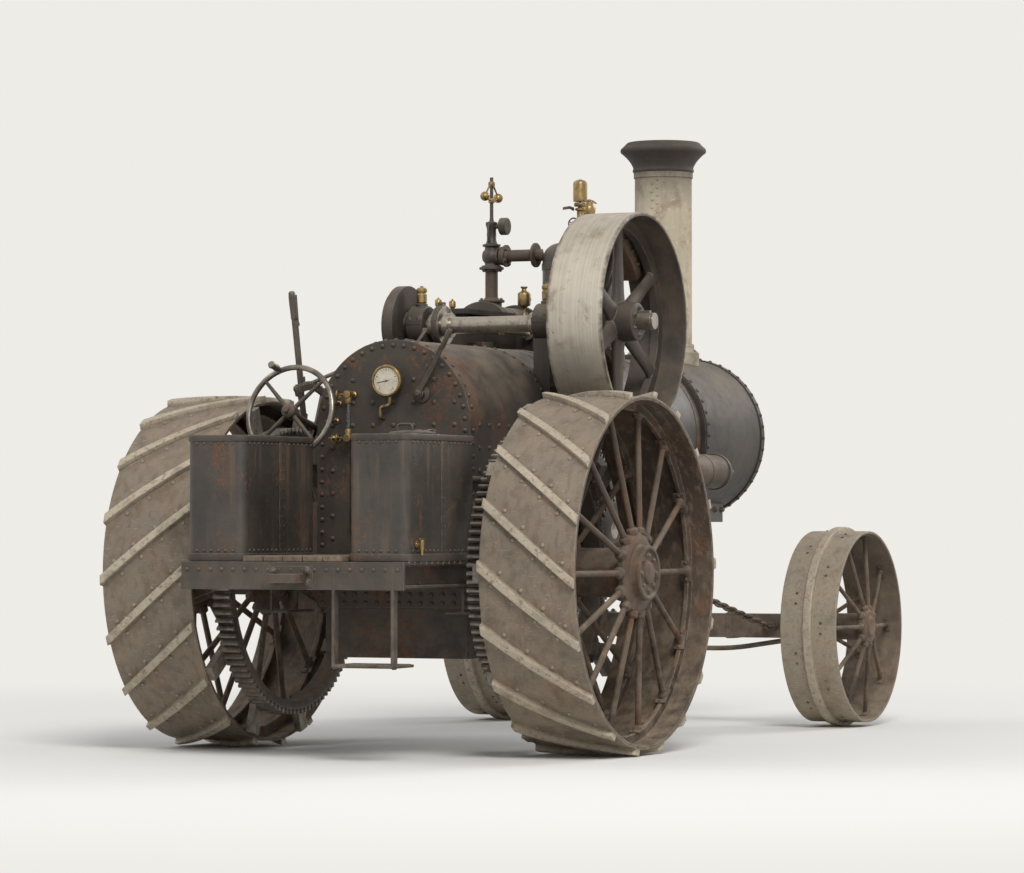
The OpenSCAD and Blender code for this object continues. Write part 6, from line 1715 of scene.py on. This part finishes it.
shape.lathe([(0, 622), (13, 624), (15.5, 632), (15.2, 650), (16.5, 690), (16.8, 730), (15.5, 750),
    (10, 757.5), (0, 758.5)], hand.to_translation(), hand.to_3x3() @ Vector(up), 24)
# latch: a hand piece, its rod and the dog in the quadrant's notch
shape.bar(hand @ Vector((0.03, 0, 0.6)), hand @ Vector((0.036, 0, 0.735)), 0.0062)
shape.block((0.014, -0.005, 0.59), (0.04, 0.005, 0.606), hand)
shape.bar(hand @ Vector((0.024, 0, 0.345)), hand @ Vector((0.027, 0, 0.6)), 0.0045)
shape.block((0.0155, -0.01, 0.292), (0.033, 0.008, 0.352), hand)
pin = hand @ Vector((0, 0, 0.3))
shape.disc(0.014, -0.002, 0.034, pin, left, 24)
rod_end = rocker + Vector((0, 0.042, 0))
rod_start = pin + Vector((0, 0.014, 0))
shape.bar(rod_start, rod_end, 0.0095, steps=16)
for at in (rod_start, rod_end):
    shape.disc(0.021, -0.011, 0.011, at, left, 28)
shape.made("reversing_lever", lever_iron, bevel=0.0012, stands_for=("reverse_lever",), sharp=35)
shape = Shape()
shape.block((rocker.x - 0.0455, 0.2525, 1.735), (rocker.x + 0.0455, 0.2975, 1.861))
shape.block((rocker.x - 0.075, 0.24, 1.742), (rocker.x + 0.075, 0.31, 1.757))
shape.lathe([(26, 1858), (24.5, 1870), (24.5, 1925), (0, 1926)], (rocker.x, rocker.y, 0), up, 32)
shape.disc(0.0175, -0.051, 0.055, rocker, left, 28)
shape.bar(rocker + Vector((0, -0.04, 0)), (-0.5195, 0.238, 1.97), 0.0085, steps=16)
for at, eye in ((rocker + Vector((0, -0.04, 0)), 0.019), (Vector((-0.5195, 0.238, 1.97)), 0.0135)):
    shape.disc(eye, -0.012, 0.012, at, left, 24)
shape.made("reverse_rocker", cast_black, bevel=0.0015)
heads("quadrant_bolts", [((quad.x + x, 0.48, quad.z + z), left) for x in (-0.042, 0.042)
    for z in (-0.042, 0.042)], 0.011, 0.008, cast_black, tree=bolt_heads)


# Platform
# Channel side frames bolted to the firebox carry a plate deck with plank boards, and end in a heavy
# drawbar. A step hangs behind it.
deck_x = (-2.3375, -1.3421)
deck_z = 0.88
plate_iron = (Coat("plate_iron", (0.038, 0.033, 0.029), (0.08, 0.065, 0.052), 0.6, 0.2, 3.0)
    .rusted(0.42, 4.5).streaked(0.65).rubbed(0.8, 0.006).dusted(0.5, 0.9).rolled(0.0025, 6.0)
    .done("plate_iron"))
dress(plate_iron, "platform")
coat = Coat("deck_boards", (0.235, 0.175, 0.118), (0.14, 0.1, 0.066), 0.85, 0.0, 3.0)
fibre = coat.cloud(30, 0.35, 0.68, 7, stretch=(0.06, 1.6, 1))
coat.over(coat.times(fibre, 0.75), (0.075, 0.052, 0.034), 0.9)
coat.over(coat.cloud(120, 0.62, 0.72, 3, stretch=(0.04, 1, 1), shift=3.0), (0.03, 0.021, 0.015),
    0.95)
coat.over(coat.cloud(5, 0.52, 0.72, 8, shift=7.0), (0.03, 0.024, 0.019), 0.6)
boards = coat.raised(fibre, 0.0016).rubbed(0.35, 0.008, (0.3, 0.235, 0.165), 0.9, 0.0).dusted(0.45,
    0.2).done("plate_iron")
shape = Shape()
random.seed(11)
for i in range(5):
    y = -0.246 + i * 0.0985
    shape.block((deck_x[0] + 0.004 + random.uniform(0, 0.006), y, deck_z + 0.0005),
        (deck_x[1] - 0.004 - random.uniform(0, 0.006), y + 0.0945, deck_z + 0.026 +
        random.uniform(-0.0015, 0.0015)))
for side in (-1, 1):
    for i in range(3):
        y = side * (0.262 + i * 0.096)
        low, high = sorted((y, y + side * 0.092))
        shape.block((-1.588, low, deck_z + 0.0005), (deck_x[1] - 0.012, high, deck_z + 0.025 +
            random.uniform(-0.001, 0.001)))
shape.made("deck_planks", boards, bevel=0.003)
places = []
for x in (-2.31, -1.86, -1.4):
    places += [((x, y, deck_z + 0.0245), up) for y in (-0.215, -0.175, -0.115, -0.078, -0.02, 0.02,
        0.082, 0.12, 0.18, 0.215)]
heads("deck_nails", places, 0.0055, 0.0015, plate_iron)
places = []
for i in range(17):
    x = deck_x[0] + 0.05 + i * 0.057
    places += [((x, s * 0.55, deck_z - 0.006), (0, s, 0)) for s in (-1, 1)]
    places += [((x, s * 0.49, z), (0, s, 0)) for s in (-1, 1) for z in (0.785, 0.845) if i % 4 == 0]
for i in range(19):
    places.append(((deck_x[0], -0.52 + i * 0.0578, 0.845), back))
heads("platform_rivets", places, 0.01, 0.006, plate_iron)
shape = Shape()
for s in (-1, 1):
    for z in (0.772, 0.866):
        low, high = sorted((s * 0.4895, s * 0.52))
        shape.block((deck_x[0] + 0.016, low, z - 0.006), (-1.345, high, z + 0.006))
    low, high = sorted((s * 0.4, s * 0.548))
    shape.block((-1.62, low, 0.64), (-1.36, high, 0.652))
    low, high = sorted((s * 0.48, s * 0.492))
    for x in (-1.612, -1.368):
        shape.block((x - 0.006, low, 0.652), (x + 0.006, high, 0.77))
shape.block((deck_x[0] - 0.004, -0.11, 0.768), (deck_x[0] + 0.001, 0.11, 0.862))
shape.made("platform_angles", plate_iron, bevel=0.0015)
shape = Shape()
for y in (-0.5, -0.212):
    shape.block((deck_x[0] - 0.0006, y - 0.0006, 0.4195), (deck_x[0] + 0.0406, y + 0.0126, 0.851))
    shape.block((deck_x[0] + 0.005, y - 0.006, 0.79), (deck_x[0] + 0.036, y + 0.0, 0.845))
shape.block((deck_x[0] - 0.0006, -0.5006, 0.4195), (deck_x[0] + 0.2006, -0.1994, 0.4326))
for i in range(11):
    x = deck_x[0] + 0.01 + i * 0.018
    shape.bar((x, -0.49, 0.433), (x, -0.21, 0.433), 0.0024, steps=8)
shape.made("rear_step", plate_iron, bevel=0.001)
heads("step_rivets", [((deck_x[0] + x, y, 0.419), down) for x in (0.012, 0.03)
    for y in (-0.494, -0.206)] + [((deck_x[0] + 0.02, -0.5, z), right) for z in (0.805, 0.835)],
    0.009, 0.006, plate_iron)
heads("drawbar_bolts", [((deck_x[0] - 0.004, y, z), back) for y in (-0.085, 0.085)
    for z in (0.79, 0.84)], 0.014, 0.013, plate_iron, tree=bolt_heads)


# Water tank
# Riveted sheet with rounded corners on the right of the platform, filled through a hinged lid and
# emptied by a drain cock. The open fuel bunker on the left is of the same sheet, with the same beads.
tank_x = (-2.2975, -1.6075)
tank_y, bunker_y = (-0.548, -0.258), (0.258, 0.548)
tank_iron = (Coat("tank_paint", (0.028, 0.026, 0.023), (0.062, 0.052, 0.042), 0.42, 0.1, 2.4)
    .rusted(0.38, 3.8).streaked(0.85, (0.125, 0.085, 0.055), 0.8, 18.0).rubbed(0.8, 0.006)
    .dusted(0.44, 0.3).rolled(0.0045, 4.5).done("plate_iron"))
dress(tank_iron, "water_tank", "fuel_bunker")


def sheet_rim(y_low, y_high, z, grow, tall, name):
    """A bead of half-round iron round the rounded top edge of a sheet box."""
    shape = Shape()
    corners = []
    r = 0.045 + grow
    for cx, cy, a0 in ((tank_x[1] - 0.045, y_high - 0.045, 0), (tank_x[0] + 0.045, y_high - 0.045,
            90), (tank_x[0] + 0.045, y_low + 0.045, 180), (tank_x[1] - 0.045, y_low + 0.045, 270)):
        for i in range(9):
            a = radians(a0 + i * 11.25)
            corners.append((cx, cy, cos(a), sin(a)))
    loops = []
    for cx, cy, c, s in corners:
        loops.append([(cx + c * (r + d), cy + s * (r + d), z + h) for d, h in ((-grow - 0.0005, 0),
            (0, 0), (0.003, tall * 0.5), (0, tall), (-grow - 0.0005, tall))])
    shape.rings(loops, closed_along=True)
    return shape.made(name, plate_iron, sharp=60)


places = []
for label, (low, high) in (("tank", tank_y), ("bunker", bunker_y)):
    sheet_rim(low, high, 1.412, 0.004, 0.026, label + "_top_bead")
    sheet_rim(low, high, 0.882, 0.006, 0.034, label + "_foot_angle")
    for i in range(15):
        x = tank_x[0] + 0.055 + i * 0.0415
        places += [((x, y, z), (0, out, 0)) for y, out in ((low, -1), (high, 1))
            for z in (0.928, 1.402)]
    for i in range(6):
        y = low + 0.055 + i * 0.036
        places += [((x, y, z), (out, 0, 0)) for x, out in ((tank_x[0], -1), (tank_x[1], 1))
            for z in (0.928, 1.402)]
    for i in range(11):
        z = 0.955 + i * 0.041
        places += [((tank_x[0] + 0.345, y, z), (0, out, 0)) for y, out in ((low, -1), (high, 1))]
        places += [((tank_x[0] + 0.375, y, z), (0, out, 0)) for y, out in ((low, -1), (high, 1))]
heads("tank_rivets", places, 0.0075, 0.005, tank_iron)
shape = Shape()
for label, (low, high) in (("tank", tank_y), ("bunker", bunker_y)):
    for y, out in ((low, -1), (high, 1)):
        a, b = sorted((y, y + out * 0.003))
        shape.block((tank_x[0] + 0.332, a, 0.895), (tank_x[0] + 0.388, b, 1.415))
shape.made("tank_seam_straps", tank_iron, bevel=0.001)
shape = Shape()
lid = Vector((-1.9525, -0.403, 1.4403))
shape.lathe([(0, 0), (103, 0), (105, 2), (105, 9), (100, 12), (60, 18), (0, 20)], lid, steps=56)
shape.pipe([lid + Vector((-0.075, -0.035, 0.012)), lid + Vector((-0.075, -0.035, 0.045)),
    lid + Vector((-0.075, 0.035, 0.045)), lid + Vector((-0.075, 0.035, 0.012))], 0.006, bend=0.02)
for y in (-0.03, 0.03):
    shape.ribbon([lid + Vector((-0.02, y, 0.0155)), lid + Vector((0.07, y, 0.0145)),
        lid + Vector((0.125, y, 0.0215))], [up] * 3, (0, 0.012, 0), 0.005)
shape.bar(lid + Vector((0.125, -0.052, 0.016)), lid + Vector((0.125, 0.052, 0.016)), 0.0078)
shape.made("tank_lid_plate", tank_iron, "tank_lid", 0.001, ("tank_lid",))
shape = Shape()
for y in (-0.047, 0.047):
    shape.block(lid + Vector((0.112, y - 0.01, -0.0003)), lid + Vector((0.14, y + 0.01, 0.007)))
shape.ring(0.0915, 0.112, 0.0, -0.0003, lid, steps=56)
shape.made("tank_filler_ring", tank_iron, bevel=0.0)
shape = Shape()
cock = Vector((tank_x[0] + 0.09, tank_y[0], 0.955))
shape.lathe([(18, 0), (18, 6), (9, 10), (9, 26), (0, 26)], cock, right, 20)
shape.lathe([(12, 16), (12, -18), (8, -24), (8, -45), (0, -45), (0, 22), (6, 22)],
    cock + Vector((0, -0.026, 0)), up, 20, hollow=True)
shape.bar(cock + Vector((-0.022, -0.026, 0.024)), cock + Vector((0.022, -0.026, 0.024)), 0.004)
shape.made("tank_drain_cock", brass)


# Backhead fittings
# What is read and worked from the deck: the water glass between its cocks, three try cocks, the steam
# gauge on a siphon, and the throttle lever. All but the levers are brass.
dial_at = Vector((box_x[0] - 0.062, 0, 1.7))
gauge_paint = Coat("gauge_face", (0.62, 0.57, 0.47), (0.5, 0.44, 0.34), 0.35, 0.0, 20.0)
gauge_face = gauge_paint.over(gauge_paint.cloud(30, 0.5, 0.75, 8), (0.34, 0.26, 0.17),
    0.5).dusted(0.3, 0.2).done("brass")
shape = Shape().lathe([(0, -38), (58, -38), (66, -30), (70, -10), (75, 0), (75, 10), (70, 16),
    (64, 16), (62, 8), (0, 8)], dial_at, back, 56)
shape.pipe([dial_at + Vector((0.03, 0, -0.05)), dial_at + Vector((0.03, 0, -0.115)),
    dial_at + Vector((0.03, 0.05, -0.115)), dial_at + Vector((0.03, 0.05, -0.17)),
    dial_at + Vector((0.064, 0.05, -0.17))], 0.009, bend=0.024)
for z in (1.44, 1.64):
    shape.lathe([(16, 0), (16, 10), (10, 14), (10, 36), (18, 40), (18, 80), (0, 80)],
        (box_x[0], 0.2, z), back, 24)
    shape.bar((box_x[0] - 0.055, 0.2, z), (box_x[0] - 0.055, 0.255, z), 0.005)
    shape.hoop((box_x[0] - 0.055, 0.256, z), left, 0.02, 0.004, 24, 8)
    shape.lathe([(0, -20), (14, -20), (17, -12), (17, 12), (14, 20), (0, 20)],
        (box_x[0] - 0.06, 0.2, z + (0.022 if z < 1.5 else -0.022)), up, 20)
for y, z in ((0.275, 1.44), (0.29, 1.52), (0.275, 1.6)):
    shape.lathe([(14, 0), (14, 8), (8, 12), (8, 45), (13, 50), (13, 70), (6, 75), (6, 88), (0, 88)],
        (box_x[0], y, z), back, 20)
    shape.bar((box_x[0] - 0.08, y - 0.018, z), (box_x[0] - 0.08, y + 0.018, z), 0.0035)
shape.made("gauge_and_cocks", brass, bevel=0.0008, stands_for=("backhead_fittings",))
shape = Shape().disc(0.0615, 0.0085, 0.01, dial_at, back, 56)
shape.made("gauge_dial", gauge_face)
ink = Coat("gauge_marks", (0.02, 0.017, 0.015), (0.034, 0.028, 0.024), 0.6, 0.0, 40.0).done("brass")
shape = Shape()
for i in range(21):
    a = radians(-135 + 270 * i / 20)
    out, side_way = Vector((0, -sin(a), cos(a))), Vector((0, cos(a), sin(a)))
    inner, wide = (0.044, 0.0013) if i % 5 == 0 else (0.05, 0.0007)
    base = dial_at + Vector((-0.0103, 0, 0))
    shape.ribbon([base + out * inner, base + out * 0.056], [back] * 2, side_way * wide, 0.0004)
a = radians(-100)
out, side_way = Vector((0, -sin(a), cos(a))), Vector((0, cos(a), sin(a)))
shape.ribbon([dial_at + Vector((-0.0115, 0, 0)) - out * 0.012, dial_at + Vector((-0.0115, 0, 0)) +
    out * 0.047], [back] * 2, side_way * 0.0014, 0.0008)
shape.disc(0.004, 0.01, 0.0135, dial_at, back, 12)
shape.made("gauge_marks", ink)
glass = bpy.data.materials.new("water_glass")
glass.use_nodes = True
shader = glass.node_tree.nodes["Principled BSDF"]
shader.inputs["Base Color"].default_value = (0.86, 0.9, 0.88, 1)
shader.inputs["Transmission Weight"].default_value = 1.0
shader.inputs["IOR"].default_value = 1.47
cloudy = glass.node_tree.nodes.new("ShaderNodeTexNoise")
cloudy.inputs["Scale"].default_value = 60
spread_out = glass.node_tree.nodes.new("ShaderNodeMapRange")
spread_out.inputs["To Min"].default_value = 0.04
spread_out.inputs["To Max"].default_value = 0.35
glass.node_tree.links.new(cloudy.outputs[0], spread_out.inputs["Value"])
glass.node_tree.links.new(spread_out.outputs[0], shader.inputs["Roughness"])
Shape().ring(0.0065, 0.0085, -0.09, 0.09, (box_x[0] - 0.06, 0.2, 1.54),
    steps=24).made("water_glass_tube", glass, slot="brass")
shape = Shape()
throttle = Vector((box_x[0], -0.15, 1.64))
shape.lathe([(40, 0), (40, 10), (22, 16), (22, 40), (0, 40)], throttle, back, 28)
shape.ribbon([throttle + Vector((-0.036, 0.01, -0.01)), throttle + Vector((-0.04, -0.06, 0.1)),
    throttle + Vector((-0.06, -0.13, 0.215))], [back] * 3, (0.0, 0.01, 0.006), 0.009)
shape.lathe([(0, 0), (10, 2), (13, 20), (11, 50), (15, 85), (10, 98), (0, 100)],
    throttle + Vector((-0.064, -0.128, 0.205)), (-0.1, -0.5, 0.86), 18)
shape.hexagon(throttle + Vector((-0.046, 0, 0)), back, 0.013, 0.012)
shape.made("throttle_lever", hoop_iron, bevel=0.0012, slot="bright_steel")
